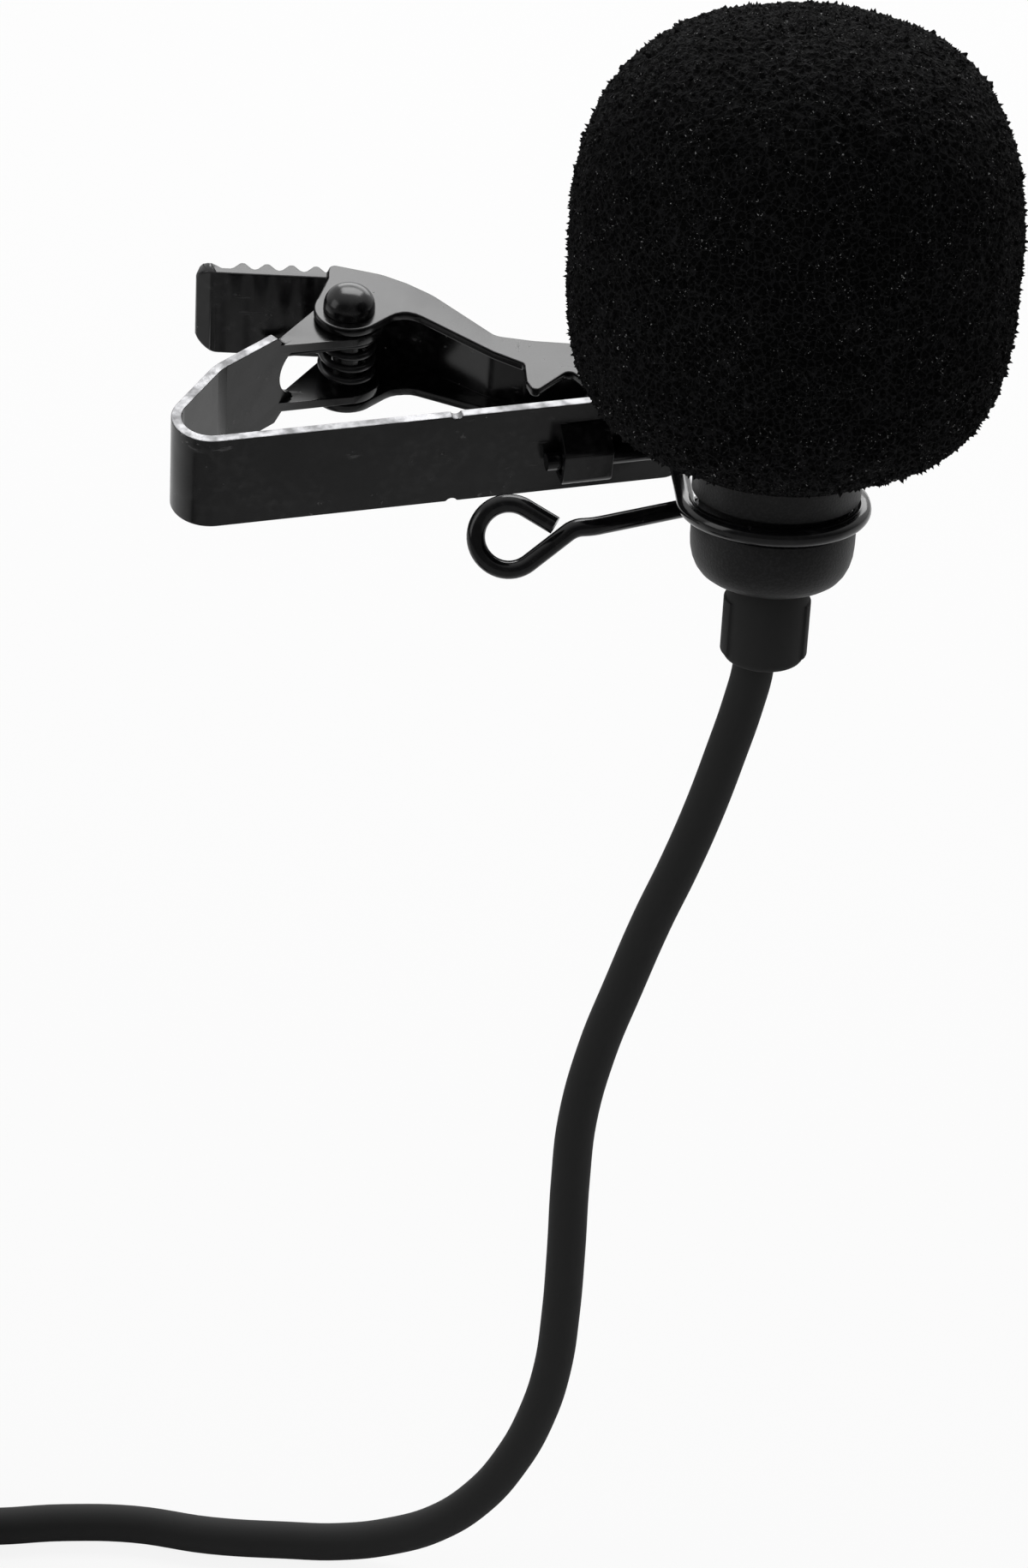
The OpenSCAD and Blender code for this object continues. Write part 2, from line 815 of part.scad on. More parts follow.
// What the channel's hollow takes from the jaw's plan: all that lies before its back wall
module jaw_hollow_plan() {
    wall = [-0.25, -0.92] * sheet_t;
    far = 30;
    last = len(back_line) - 1;
    polygon(rounded(concat(
        [[-far, back_line[0].y + wall.y, 0]],
        [for (i = [0:last]) [
            back_line[i].x + wall.x,
            back_line[i].y + wall.y,
            i == 0 ? 0 : back_line[i][2]
        ]],
        [
            [far, back_line[last].y + wall.y, 0],
            [far, -far, 0],
            [-far, -far, 0]
        ]
    )));
}

// Height of the channel along x, seen square to the rivet
module jaw_height(inset) {
    full = strip_half - inset;
    nose = nose_half - inset;
    taper_from = 3.4;
    taper_to = 8.6;
    rotate([90, 0, 0])
        linear_extrude(40, center = true)
            polygon([
                [-20, -full], [taper_from, -full], [taper_to, -nose], [30, -nose],
                [30, nose], [taper_to, nose], [taper_from, full], [-20, full]
            ]);
}

// Ridged thumb plate, curled away at its free end
module thumb_plate() {
    wave_steps = 8;
    base_y = plate_y + sheet_t;
    free_x = -9.3;
    curl_r = 2.4;
    wave = [for (i = [0:ridge_count * wave_steps])
        [ridges_to - i * ridge_pitch / wave_steps,
            base_y + ridge_h * (1 - cos(360 * i / wave_steps)) / 2]];
    corner_r = 1.3;
    intersection() {
        linear_extrude(2 * plate_half, center = true)
            polygon(concat(
                [
                    [ridges_to, plate_y],
                    [ridges_to + 0.9, plate_y + 0.4],
                    [ridges_to + 0.9, base_y + 0.4]
                ],
                wave,
                rounded([
                    [ridges_from - 0.5, base_y, 0],
                    [ridges_from - 1.1, base_y + 0.5, 0.5],
                    [free_x + 0.3, base_y + 0.85, 0.2],
                    [free_x, base_y + 0.1, 0.3],
                    [free_x + 1.2, plate_y, curl_r / 2],
                    [ridges_from, plate_y, 0]
                ])
            ));
        rotate([90, 0, 0])
            linear_extrude(40, center = true)
                polygon(rounded([
                    [free_x, -plate_half, corner_r],
                    [2, -plate_half, 0],
                    [2, plate_half, 0],
                    [free_x, plate_half, corner_r]
                ], 7));
    }
}

module rear_jaw() {
    color("#121214")
        on_clip()
            difference() {
                union() {
                    difference() {
                        intersection() {
                            linear_extrude(strip_w, center = true)
                                jaw_plan();
                            jaw_height(0);
                        }
                        intersection() {
                            linear_extrude(strip_w, center = true)
                                jaw_hollow_plan();
                            jaw_height(sheet_t);
                        }
                    }
                    thumb_plate();
                }
                cylinder(d = shank_d + 2 * fit, h = strip_w + 2 * e, center = true);
            }
}

// Domed head above, upset tail below, one shank through all four ears
module pivot_rivet() {
    head_floor = strip_half + fit;
    tail_d = head_d * 0.86;
    tail_h = head_h * 0.45;
    dome_power = 2.4;
    color("#0d0d0f")
        on_clip() {
            translate([0, 0, -head_floor])
                cylinder(d = shank_d, h = 2 * head_floor);
            translate([0, 0, head_floor])
                rotate_extrude()
                    polygon(concat([[0, 0]], [for (a = [0:7.5:90])
                        [head_d / 2 * pow(cos(a), 2 / dome_power),
                            head_h * pow(sin(a), 2 / dome_power)]]));
            translate([0, 0, -head_floor - tail_h])
                cylinder(d1 = tail_d * 0.8, d2 = tail_d, h = tail_h);
        }
}

// Return spring: three turns round the shank, one leg on the strip and one on the plate
spring_r = (spring_d - spring_wire_d) / 2;
spring_pitch = spring_wire_d + 0.43;
spring_from = 76;
spring_to = 279;
spring_turns = 3 + (360 + spring_from - spring_to) / 360;
spring_rings = 16;
spring_plate_leg = [-5, plate_y - spring_wire_d / 2 - fit];
spring_strip_leg = [-4.4, -2.2];
// Dip of the upper leg, which takes it through the strip's window
spring_leg_dip = 0.4;
spring_half = spring_turns * spring_pitch / 2;
function spring_point(i) =
    let (a = spring_from - 360 * i / spring_rings)
    [spring_r * cos(a), spring_r * sin(a), i / spring_rings * spring_pitch - spring_half];
spring_steps = floor(spring_turns * spring_rings);
spring_winding = concat(
    [for (i = [0:spring_steps]) spring_point(i)],
    [spring_point(spring_turns * spring_rings)]
);
spring_path = concat(
    [[spring_plate_leg.x, spring_plate_leg.y, -spring_half]],
    spring_winding,
    [[spring_strip_leg.x, spring_strip_leg.y, spring_half - spring_leg_dip]]
);

module return_spring() {
    last = len(spring_path) - 1;
    first_dir = unit(spring_path[1] - spring_path[0]);
    final_dir = unit(spring_path[last] - spring_path[last - 1]);
    dirs = [for (i = [0:last])
        i < 2 ? first_dir : i > last - 2 ? final_dir : unit(spring_path[i + 1] - spring_path[i - 1])];
    color("#17171a")
        on_clip()
            swept_tube(spring_path, dirs, [0, 0, 1], spring_wire_d / 2, 8);
}

// ---- Wire holder -------------------------------------------------------------------

// One wire: in the tongue, forward round the groove, out at the back and into an eye
ring_r = groove_d / 2 + fit + wire_r;
back_level = -2.1;
// Bends where the wire leaves the ring, turns behind the housing and starts the stem
ring_exit_r = 4.5;
back_corner_r = 4.2;
stem_root_r = 5;
// Where the stem ends, and the eye's centre seen from there, in the eye's own plane
stem_end = [-10.3, 0.35, back_level];
eye_lean = 28;
eye_from_stem = [-4.78, -0.81];
eye_side = [1, 0, 0];
eye_rise = [0, sin(eye_lean), cos(eye_lean)];
eye_front = [0, -cos(eye_lean), sin(eye_lean)];
function eye_point(p, lift) =
    stem_end + (p.x + eye_from_stem.x) * eye_side + (p.y + eye_from_stem.y) * eye_rise
    + lift * eye_front;
eye_throat = [3.75, 0.72];
eye_tip = [2.6, 0.7];
eye_lift = 1.2;
// Angles at which the eye's round part starts and ends, and the corners that bound it
eye_start = atan2(eye_throat.y, eye_throat.x) - acos(eye_r / norm(eye_throat));
eye_stop = atan2(eye_tip.y, eye_tip.x) + acos(eye_r / norm(eye_tip));
eye_step = (eye_start + 360 - eye_stop) / 3;
function eye_corner(k) =
    eye_point(eye_r / cos(eye_step / 2) * plan_dir(eye_start - (k - 0.5) * eye_step),
        eye_lift * k / 4);
holder_path = [
    [arm_point(tongue_at - tongue_w / 2 - 0.8, wire_out, wire_level), 0],
    [arm_point(27.3, wire_out, wire_level), 1.5],
    [[-ring_r, -ring_r, 0], ring_r],
    [[ring_r, -ring_r, 0], ring_r],
    [[ring_r, 0.6, 0], ring_exit_r],
    [[ring_r, 5.6, -1.05], back_corner_r],
    [[-1.1, 5.6, back_level + 0.15], stem_root_r],
    [stem_end, 1.8],
    [eye_point(eye_throat, 0), 1.5],
    [eye_corner(1), eye_r],
    [eye_corner(2), eye_r],
    [eye_corner(3), eye_r],
    [eye_point(eye_tip, eye_lift), 0]
];

module wire_holder() {
    color("#0c0c0d")
        on_mic_axis()
            bent_wire(holder_path, wire_r);
}

// ---- Cord --------------------------------------------------------------------------

module cable() {
    color("#141414")
        on_mic_axis()
            swept_tube(cable_route, headings(cable_route, [0, 0, -1], [-1, 0, 0]),
                [0, 1, 0], cord_r, 8);
}

// Turns spiral in and out at a steady rate, and climb a layer where the spiral reverses
function coil_point(turn) =
    let (
        phase = turn / turns_per_layer % 2,
        inward = phase < 1 ? phase : 2 - phase,
        r = coil_outer_r - inward * turns_per_layer * coil_pitch,
        climbs = [for (k = [1:coil_layers - 1]) ease((turn - k * turns_per_layer) * 2 + 0.5)],
        level = coil_level + coil_pitch * (climbs * [for (c = climbs) 1]),
        az = 90 + 360 * turn
    )
    [coil_at.x + r * cos(az), coil_at.y + r * sin(az), level];
coil_steps = coil_turns * rings_per_turn;
coil_winding = [for (i = [0:coil_steps]) coil_point(i / rings_per_turn)];
coil_path = concat(
    [coil_winding[0] + [cord_d, 0, 0]],
    coil_winding,
    [coil_winding[coil_steps] - [cord_d, 0, 0]]
);

module cable_coil() {
    last = len(coil_path) - 1;
    dirs = [for (i = [0:last])
        i < 2 || i > last - 2 ? [-1, 0, 0] : unit(coil_path[i + 1] - coil_path[i - 1])];
    color("#141414")
        on_mic_axis()
            swept_tube(coil_path, dirs, [0, 0, 1], cord_r, 6);
}

module cable_tail() {
    color("#141414")
        on_mic_axis()
            swept_tube(tail_route,
                headings(tail_route, [-1, 0, 0], [cos(plug_az), sin(plug_az), 0]),
                [0, 0, 1], cord_r, 8);
}

// A strap round the bundle, lapped on its outer side
module cable_tie() {
    room = 2 * gap;
    inner_x = sqrt(pow(coil_inner_r - cord_r, 2) - pow(tie_w / 2, 2)) - room;
    outer_x = coil_outer_r + cord_r + room;
    floor_z = coil_level - cord_r - room;
    roof_z = coil_roof_level + cord_r + room;
    tie_az = 330;
    color("#202022")
        on_mic_axis()
            translate([coil_at.x, coil_at.y, 0])
                rotate(tie_az)
                    rotate([90, 0, 0])
                        linear_extrude(tie_w, center = true)
                            difference() {
                                union() {
                                    polygon(rounded([
                                        [inner_x - tie_t, floor_z - tie_t, 2],
                                        [outer_x + tie_t, floor_z - tie_t, 2],
                                        [outer_x + tie_t, roof_z + tie_t, 2],
                                        [inner_x - tie_t, roof_z + tie_t, 2]
                                    ]));
                                    translate([outer_x, floor_z + 2])
                                        square([2 * tie_t, (roof_z - floor_z) * 0.6]);
                                }
                                polygon(rounded([
                                    [inner_x, floor_z, 1.2],
                                    [outer_x, floor_z, 1.2],
                                    [outer_x, roof_z, 1.2],
                                    [inner_x, roof_z, 1.2]
                                ]));
                            }
}

// ---- Jack plug ---------------------------------------------------------------------

// Places a piece that is turned about +Z with the cord's end at its origin
module on_plug() {
    on_mic_axis()
        translate(plug_at)
            rotate([0, 90, plug_az])
                children();
}

module plug_relief() {
    tail_r = cord_r + 0.5;
    root_r = shell_d / 2 - shell_wall;
    groove_count = 4;
    groove_w = plug_relief_len / (2 * groove_count + 1);
    color("#18181a")
        on_plug()
            difference() {
                cylinder(r1 = tail_r, r2 = root_r + 0.3, h = plug_relief_len);
                for (k = [0:groove_count - 1])
                    translate([0, 0, groove_w * (2 * k + 1)])
                        difference() {
                            cylinder(r = shell_d, h = groove_w * 0.8);
                            translate([0, 0, -e])
                                cylinder(r = cord_r + 0.25, h = groove_w);
                        }
            }
}

module plug_shell() {
    r = shell_d / 2;
    edge = 0.5;
    grip_count = 5;
    color("#1a1a1c")
        on_plug()
            translate([0, 0, shell_start])
                difference() {
                    rotate_extrude()
                        polygon([
                            [0, 0], [r - edge, 0], [r, edge],
                            [r, shell_len - edge], [r - edge, shell_len], [0, shell_len]
                        ]);
                    for (k = [1:grip_count])
                        translate([0, 0, shell_len - 1 - 1.2 * k])
                            difference() {
                                cylinder(r = shell_d, h = 0.5);
                                cylinder(r = r - 0.25, h = 2, center = true);
                            }
                    translate([0, 0, shell_len - 1.5])
                        cylinder(r = sleeve_root_r + fit, h = 1.5 + e);
                }
}

// A tube about the plug's axis
module plug_tube(start, length, outer_r, inner_r) {
    translate([0, 0, start])
        difference() {
            cylinder(r = outer_r, h = length);
            if (inner_r > 0)
                translate([0, 0, -e])
                    cylinder(r = inner_r, h = length + 2 * e);
        }
}

plug_root = pin_start - 1.5;

module plug_sleeve() {
    color("#c9ccd0")
        on_plug() {
            plug_tube(pin_start + e, sleeve_len - e, pin_r, lining_r + fit);
            plug_tube(plug_root, 1.5 + 2 * e, sleeve_root_r, lining_r + fit);
        }
}

module plug_ring() {
    color("#c9ccd0")
        on_plug()
            difference() {
                union() {
                    plug_tube(ring_start, ring_len, pin_r, 0);
                    plug_tube(plug_root, ring_start - plug_root + e, ring_core_r, 0);
                }
                translate([0, 0, plug_root - e])
                    cylinder(r = tip_core_r + fit, h = pin_len + 2);
            }
}

module plug_tip() {
    color("#c9ccd0")
        on_plug()
            rotate_extrude()
                polygon([
                    [0, plug_root],
                    [tip_core_r, plug_root],
                    [tip_core_r, tip_start],
                    [pin_r - 0.05, tip_start],
                    [pin_r * 0.72, tip_start + 0.7],
                    [pin_r * 0.72, tip_start + 0.95],
                    [pin_r * 0.97, tip_start + 1.6],
                    [pin_r * 0.9, tip_start + 2],
                    [pin_r * 0.36, tip_start + tip_len - 0.15],
                    [pin_r * 0.2, tip_start + tip_len],
                    [0, tip_start + tip_len]
                ]);
}

module plug_insulators() {
    rim_r = pin_r - 0.2;
    color("#202022")
        on_plug() {
            difference() {
                union() {
                    plug_tube(ring_start - insulator_t, insulator_t, rim_r, 0);
                    plug_tube(plug_root, ring_start - insulator_t - plug_root + e, lining_r, 0);
                }
                translate([0, 0, plug_root - e])
                    cylinder(r = ring_core_r + fit, h = pin_len + 2);
            }
            plug_tube(tip_start - insulator_t, insulator_t, rim_r, tip_core_r + fit);
        }
}

echo(coil_least_gap = self_gap(coil_path, cord_d, rings_per_turn / 2));
echo(spring_least_gap = self_gap(spring_path, spring_wire_d, spring_rings / 2));

windscreen();
grille_cap();
acoustic_cloth();
capsule_body();
capsule_gasket();
microphone_capsule();
capsule_board();
lead_wires();
end_cap();
strain_relief();
front_arm();
rear_jaw();
pivot_rivet();
return_spring();
wire_holder();
cable();
cable_coil();
cable_tail();
cable_tie();
plug_relief();
plug_shell();
plug_sleeve();
plug_ring();
plug_tip();
plug_insulators();
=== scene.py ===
"""Dresses a clip-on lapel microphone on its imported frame: foam windscreen, capsule
housing, sprung tie clip, wire holder, and the cord with its coil, strap and jack plug.

Lengths in the classes are millimetres in the microphone's own frame, unless a name says
otherwise, and they become metres in the row frame where a mesh is made.
"""

import contextlib
import logging
import math
import random
from collections.abc import Callable, Iterator, Sequence
from dataclasses import dataclass
from enum import Enum

import bmesh
import bpy
from mathutils import Matrix, Vector


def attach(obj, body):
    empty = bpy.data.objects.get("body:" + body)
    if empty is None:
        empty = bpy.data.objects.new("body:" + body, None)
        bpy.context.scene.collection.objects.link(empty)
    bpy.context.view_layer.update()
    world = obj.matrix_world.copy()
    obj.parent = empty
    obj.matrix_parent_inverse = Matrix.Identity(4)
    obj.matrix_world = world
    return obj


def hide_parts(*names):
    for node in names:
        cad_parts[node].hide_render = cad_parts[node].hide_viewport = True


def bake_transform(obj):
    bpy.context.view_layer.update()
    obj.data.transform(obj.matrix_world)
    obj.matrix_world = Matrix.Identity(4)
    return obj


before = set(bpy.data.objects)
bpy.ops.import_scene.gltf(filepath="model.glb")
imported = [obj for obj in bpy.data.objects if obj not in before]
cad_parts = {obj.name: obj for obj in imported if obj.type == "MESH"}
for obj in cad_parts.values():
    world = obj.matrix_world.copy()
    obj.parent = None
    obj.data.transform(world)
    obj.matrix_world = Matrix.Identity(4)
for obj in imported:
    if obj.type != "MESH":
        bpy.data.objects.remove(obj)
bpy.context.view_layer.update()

LOG = logging.getLogger("microphone")
MM = 0.001
Triple = tuple[float, float, float]
Piece = bpy.types.Object

# Where the microphone's ring plane sits in the row frame, and how the clip is swung
MIC_AT = Vector((6.0, -9.9, -0.3))
CLIP_TILT = (16.0, 1.0, 2.0)
PIVOT_AT = Vector((-18.85, 6.05, 0.0))


def turned(degrees: Triple) -> Matrix:
    """Turns about X, then Y, then Z.

    Args:
        degrees: the three angles.

    Returns:
        The rotation as a 4x4 matrix.
    """
    x, y, z = (math.radians(a) for a in degrees)
    return (
        Matrix.Rotation(z, 4, "Z") @ Matrix.Rotation(y, 4, "Y") @ Matrix.Rotation(x, 4, "X")
    )


def on_mic(point: Sequence[float]) -> Vector:
    """Takes a point of the microphone's own frame, in mm, to the row frame, in metres."""
    return (Vector(point) + MIC_AT) * MM


CLIP_PLACE = Matrix.Scale(MM, 4) @ turned(CLIP_TILT) @ Matrix.Translation(PIVOT_AT)
FROM_CLIP = CLIP_PLACE.inverted()
RIVET_AXIS = turned(CLIP_TILT).to_3x3() @ Vector((0, 0, 1))


def on_clip(point: Sequence[float]) -> Vector:
    """Takes a point given from the rivet's centre, in mm, to the row frame, in metres."""
    return CLIP_PLACE @ Vector(point)


class Slot(Enum):
    """The material slots."""

    FOAM = "foam"
    HOUSING = "housing"
    CLOTH = "cloth"
    CAN = "electret_can"
    BOARD = "board"
    LEAD = "lead_insulation"
    RELIEF = "relief_rubber"
    CLIP = "clip_steel"
    SPRING = "spring_steel"
    WIRE = "wire_steel"
    CORD = "cord_jacket"
    STRAP = "tie_fabric"
    SHELL = "plug_plastic"
    CONTACT = "plug_contacts"
    INSULATION = "plug_insulation"


class Body(Enum):
    """The bodies that pieces ride on."""

    FRONT = "front"
    JAW = "jaw"
    HOLDER = "holder"
    MICROPHONE = "microphone"
    FOAM = "foam"


# ---- Shader maths


class Socket:
    """A node's output, on which Python's operators add Math nodes."""

    def __init__(self, graph: "Graph", link: bpy.types.NodeSocket) -> None:
        """Keeps the graph and its socket."""
        self.graph = graph
        self.link = link

    def _math(self, operation: str, *values: "Socket | float") -> "Socket":
        """Adds one Math node on the given values."""
        return self.graph.node(
            "ShaderNodeMath", {"operation": operation}, dict(enumerate(values))
        )

    def __add__(self, other: "Socket | float") -> "Socket":
        """self + other."""
        return self._math("ADD", self, other)

    def __radd__(self, other: float) -> "Socket":
        """other + self."""
        return self._math("ADD", other, self)

    def __sub__(self, other: "Socket | float") -> "Socket":
        """self - other."""
        return self._math("SUBTRACT", self, other)

    def __rsub__(self, other: float) -> "Socket":
        """other - self."""
        return self._math("SUBTRACT", other, self)

    def __mul__(self, other: "Socket | float") -> "Socket":
        """self * other."""
        return self._math("MULTIPLY", self, other)

    def __rmul__(self, other: float) -> "Socket":
        """other * self."""
        return self._math("MULTIPLY", other, self)

    def band(self, low: float, high: float) -> "Socket":
        """Rises smoothly from 0 to 1 between two values.

        Args:
            low: the value that gives 0.
            high: the value that gives 1, which may be the smaller one.

        Returns:
            The share from 0 to 1.
        """
        return self.graph.node(
            "ShaderNodeMapRange",
            {"interpolation_type": "SMOOTHSTEP"},
            {"Value": self, "From Min": low, "From Max": high},
        )

    def sibling(self, output: str) -> "Socket":
        """Finds another output of the same node."""
        return Socket(self.graph, self.link.node.outputs[output])


Inputs = dict[str | int, Socket | float | Sequence[float]]


class Graph:
    """A node tree, with short ways to add and link its nodes."""

    def __init__(self, tree: bpy.types.NodeTree) -> None:
        """Takes a tree and empties it."""
        self.tree = tree
        self.tree.nodes.clear()

    def node(
        self, kind: str, settings: dict[str, object], inputs: Inputs, output: str | int = 0
    ) -> Socket:
        """Adds a node.

        Args:
            kind: the node's type.
            settings: its own properties, which are set first.
            inputs: values or links of its sockets.
            output: which output comes back.

        Returns:
            That output.
        """
        made = self.tree.nodes.new(kind)
        for name, value in settings.items():
            setattr(made, name, value)
        self.feed(made, inputs)
        return Socket(self, made.outputs[output])

    def feed(self, made: bpy.types.Node, inputs: Inputs) -> None:
        """Sets or links a node's sockets.

        Args:
            made: the node.
            inputs: values or links by the sockets' names or numbers.
        """
        for name, value in inputs.items():
            if isinstance(value, Socket):
                self.tree.links.new(value.link, made.inputs[name])
            else:
                made.inputs[name].default_value = value

    def rays(self) -> tuple[Socket, Socket, Socket]:
        """Tells whether a ray is the camera's own, has come through, or is mirrored."""
        seen = self.node("ShaderNodeLightPath", {}, {}, "Is Camera Ray")
        return seen, seen.sibling("Is Transmission Ray"), seen.sibling("Is Glossy Ray")


class Shader(Graph):
    """One material with its node tree, ready for a finish to dress."""

    def __init__(self, name: str) -> None:
        """Makes an empty material with a Principled shader.

        Args:
            name: the material's name.
        """
        self.material = bpy.data.materials.new(name)
        self.material.use_nodes = True
        super().__init__(self.material.node_tree)
        self.surface = self.tree.nodes.new("ShaderNodeBsdfPrincipled")
        output = self.tree.nodes.new("ShaderNodeOutputMaterial")
        self.tree.links.new(self.surface.outputs["BSDF"], output.inputs["Surface"])
        self.place = self.node("ShaderNodeTexCoord", {}, {}, "Object")

    def noise(self, size: float, detail: float = 2.0, seed: float = 0.0) -> Socket:
        """Adds soft noise.

        Args:
            size: how wide its lumps are, in mm.
            detail: how many finer layers it has.
            seed: picks another pattern of the same kind.

        Returns:
            The noise from 0 to 1.
        """
        return self.node(
            "ShaderNodeTexNoise",
            {"noise_dimensions": "4D"},
            {"Vector": self.place, "Scale": 1 / (size * MM), "Detail": detail, "W": seed},
            "Fac",
        )

    def cells(self, size: float, feature: str = "F1") -> Socket:
        """Adds Voronoi cells.

        Args:
            size: how wide a cell is, in mm.
            feature: what the distance is measured to.

        Returns:
            The distance, in cells.
        """
        return self.node(
            "ShaderNodeTexVoronoi",
            {"feature": feature},
            {"Vector": self.place, "Scale": 1 / (size * MM)},
            "Distance",
        )

    def streaks(self, size: float, stretch: Triple, turn: Triple) -> Socket:
        """Adds noise drawn out along an axis, for scratches.

        Args:
            size: how wide a streak is, in mm.
            stretch: the scale along each axis, small where the streaks run.
            turn: how the axes are turned, in degrees.

        Returns:
            The noise from 0 to 1.
        """
        mapped = self.mapped(stretch, turn, "POINT")
        return self.node(
            "ShaderNodeTexNoise",
            {"noise_dimensions": "3D"},
            {"Vector": mapped, "Scale": 1 / (size * MM), "Detail": 3.0},
            "Fac",
        )

    def mapped(self, scale: Triple, turn: Triple, kind: str) -> Socket:
        """Scales and turns the object's coordinates.

        Args:
            scale: the scale along each axis.
            turn: the three angles, in degrees.
            kind: POINT, or TEXTURE for the inverse.

        Returns:
            The new coordinates.
        """
        angles = tuple(math.radians(a) for a in turn)
        inputs = {"Vector": self.place, "Scale": scale, "Rotation": angles}
        return self.node("ShaderNodeMapping", {"vector_type": kind}, inputs, "Vector")

    def blend(self, share: Socket, low: "Triple | Socket", high: Triple) -> Socket:
        """Mixes two colours.

        Args:
            share: how much of the second colour there is.
            low: the first colour.
            high: the second colour.

        Returns:
            The mixed colour.
        """
        first = low if isinstance(low, Socket) else (*low, 1)
        return self.node(
            "ShaderNodeMix", {"data_type": "RGBA"}, {0: share, 6: first, 7: (*high, 1)}, 2
        )

    def bump(self, height: Socket, depth: float, strength: float = 1.0) -> Socket:
        """Turns a height into a normal.

        Args:
            height: the height.
            depth: how many mm a height of 1 is.
            strength: how much of it shows.

        Returns:
            The normal.
        """
        return self.node(
            "ShaderNodeBump",
            {},
            {"Height": height, "Distance": depth * MM, "Strength": strength},
            "Normal",
        )

    def dress(self, **sockets: "Socket | float | Sequence[float]") -> None:
        """Feeds the Principled shader.

        Args:
            sockets: values or links by the short names below.
        """
        names = {
            "color": "Base Color",
            "roughness": "Roughness",
            "metallic": "Metallic",
            "specular": "Specular IOR Level",
            "sheen": "Sheen Weight",
            "normal": "Normal",
        }
        self.feed(self.surface, {names[name]: value for name, value in sockets.items()})


# ---- Finishes


@dataclass(frozen=True)
class Finish:
    """A finish: the slot it belongs to, and its darkest and palest colour."""

    name: str
    slot: Slot
    dark: Triple
    pale: Triple

    def make(self) -> bpy.types.Material:
        """Builds the finish's material once, and finds it again after that.

        Returns:
            The material.
        """
        found = bpy.data.materials.get(self.name)
        if found:
            return found
        shader = Shader(self.name)
        self.paint(shader)
        return shader.material

    def paint(self, shader: Shader) -> None:
        """Dresses the shader; each finish has its own way."""
        raise NotImplementedError


@dataclass(frozen=True)
class FoamFinish(Finish):
    """Open-cell foam: pores painted dark as painted shade between paler struts, with painted glints on
    a few struts.
    """

    pore: float = 0.42
    painted_glint: Triple = (0.4, 0.4, 0.4)

    def paint(self, shader: Shader) -> None:
        """Paints shade into the pores and painted glints onto a few struts.

        Args:
            shader: the shader to dress.
        """
        struts = shader.cells(self.pore, "DISTANCE_TO_EDGE").band(0.16, 0.02)
        fine = shader.noise(0.16, 1.0)
        uneven = shader.noise(3.5, 2.0)
        # Painted shade: the pores, away from the struts, are darker; the fine and uneven noise is
        # random tone.
        share = struts * 0.5 + fine.band(0.4, 0.75) * 0.5 * uneven.band(0.2, 0.75)
        body = shader.blend(share, self.dark, self.pale)
        # Painted highlight: a few spots on the struts take the glint colour.
        patches = shader.noise(0.8, 2.0, 9.0).band(0.46, 0.68)
        picked = shader.noise(0.13, 1.0, 4.0).band(0.66, 0.74) * patches
        shader.dress(
            color=shader.blend(picked, body, self.painted_glint),
            roughness=0.95,
            specular=0.12,
            normal=shader.bump(struts * 0.7 + fine, 0.12),
        )


@dataclass(frozen=True)
class GlossPaint(Finish):
    """Black gloss on formed steel: faint orange peel, fine scratches, haze and dust."""

    shine: float = 0.16
    scratch: float = 1.0
    grain: float = 1.4
    skin: float = 0.006
    sheet: float = 18.0

    def peel(self, shader: Shader) -> Socket:
        """The height of the paint over faintly uneven sheet, in thicknesses of its skin."""
        return shader.noise(self.grain, 2.0) + shader.noise(3.6, 1.0, 7.0) * self.sheet

    def paint(self, shader: Shader) -> None:
        """Mixes the peel, the scratches, the haze and the dust.

        Args:
            shader: the shader to dress.
        """
        peel = self.peel(shader)
        lines = shader.streaks(0.5, (0.05, 1.0, 1.0), (0, 0, 14)).band(0.62, 0.7)
        cross = shader.streaks(0.42, (1.0, 0.06, 1.0), (0, 25, 40)).band(0.66, 0.73)
        worn = (lines + cross) * shader.noise(2.6, 2.0, 3.0).band(0.5, 0.7) * self.scratch
        dust = shader.cells(0.9).band(0.09, 0.04) * shader.noise(1.7, 1.0, 6.0).band(0.55, 0.7)
        cloud = shader.noise(4.0, 3.0, 2.0)
        haze = shader.noise(0.5, 4.0, 11.0).band(0.4, 0.75) * cloud.band(0.3, 0.65) * 0.06
        shader.dress(
            color=shader.blend(dust * 0.6 + worn * 0.35 + haze, self.dark, self.pale),
            roughness=self.shine + cloud * 0.1 + worn * 0.25 + dust * 0.4,
            specular=0.5,
            normal=shader.bump(peel + worn * -0.2, self.skin, 0.6),
        )


@dataclass(frozen=True)
class RidgedPaint(GlossPaint):
    """The same gloss where the thumb plate's ridges press through as soft bands."""

    pitch: float = 1.47
    first: float = -7.18
    depth: float = 0.16

    def peel(self, shader: Shader) -> Socket:
        """Adds the bands, which run across the clip, to the paint's skin.

        Args:
            shader: the shader that is dressed.

        Returns:
            The height, in thicknesses of the skin.
        """
        from_clip = shader.mapped((MM, MM, MM), CLIP_TILT, "TEXTURE")
        along = shader.node("ShaderNodeSeparateXYZ", {}, {"Vector": from_clip}, "X")
        turns = (along - PIVOT_AT.x - self.first) * (2 * math.pi / self.pitch)
        band = shader.node("ShaderNodeMath", {"operation": "COSINE"}, {0: turns})
        return super().peel(shader) + band * (self.depth / 2 / self.skin)


@dataclass(frozen=True)
class CutEdge(Finish):
    """The sheared edge of the sheet: rough under its paint, and bright where it is rubbed."""

    def paint(self, shader: Shader) -> None:
        """Breaks the gloss up and rubs it through in patches.

        Args:
            shader: the shader to dress.
        """
        shear = shader.noise(0.12, 3.0)
        rubbed = shader.noise(0.9, 3.0, 5.0).band(0.3, 0.6)
        shader.dress(
            color=shader.blend(rubbed, self.dark, self.pale),
            metallic=rubbed * 0.4 + 0.4,
            roughness=0.34 + shear * 0.2,
            specular=0.7,
            normal=shader.bump(shear, 0.012),
        )


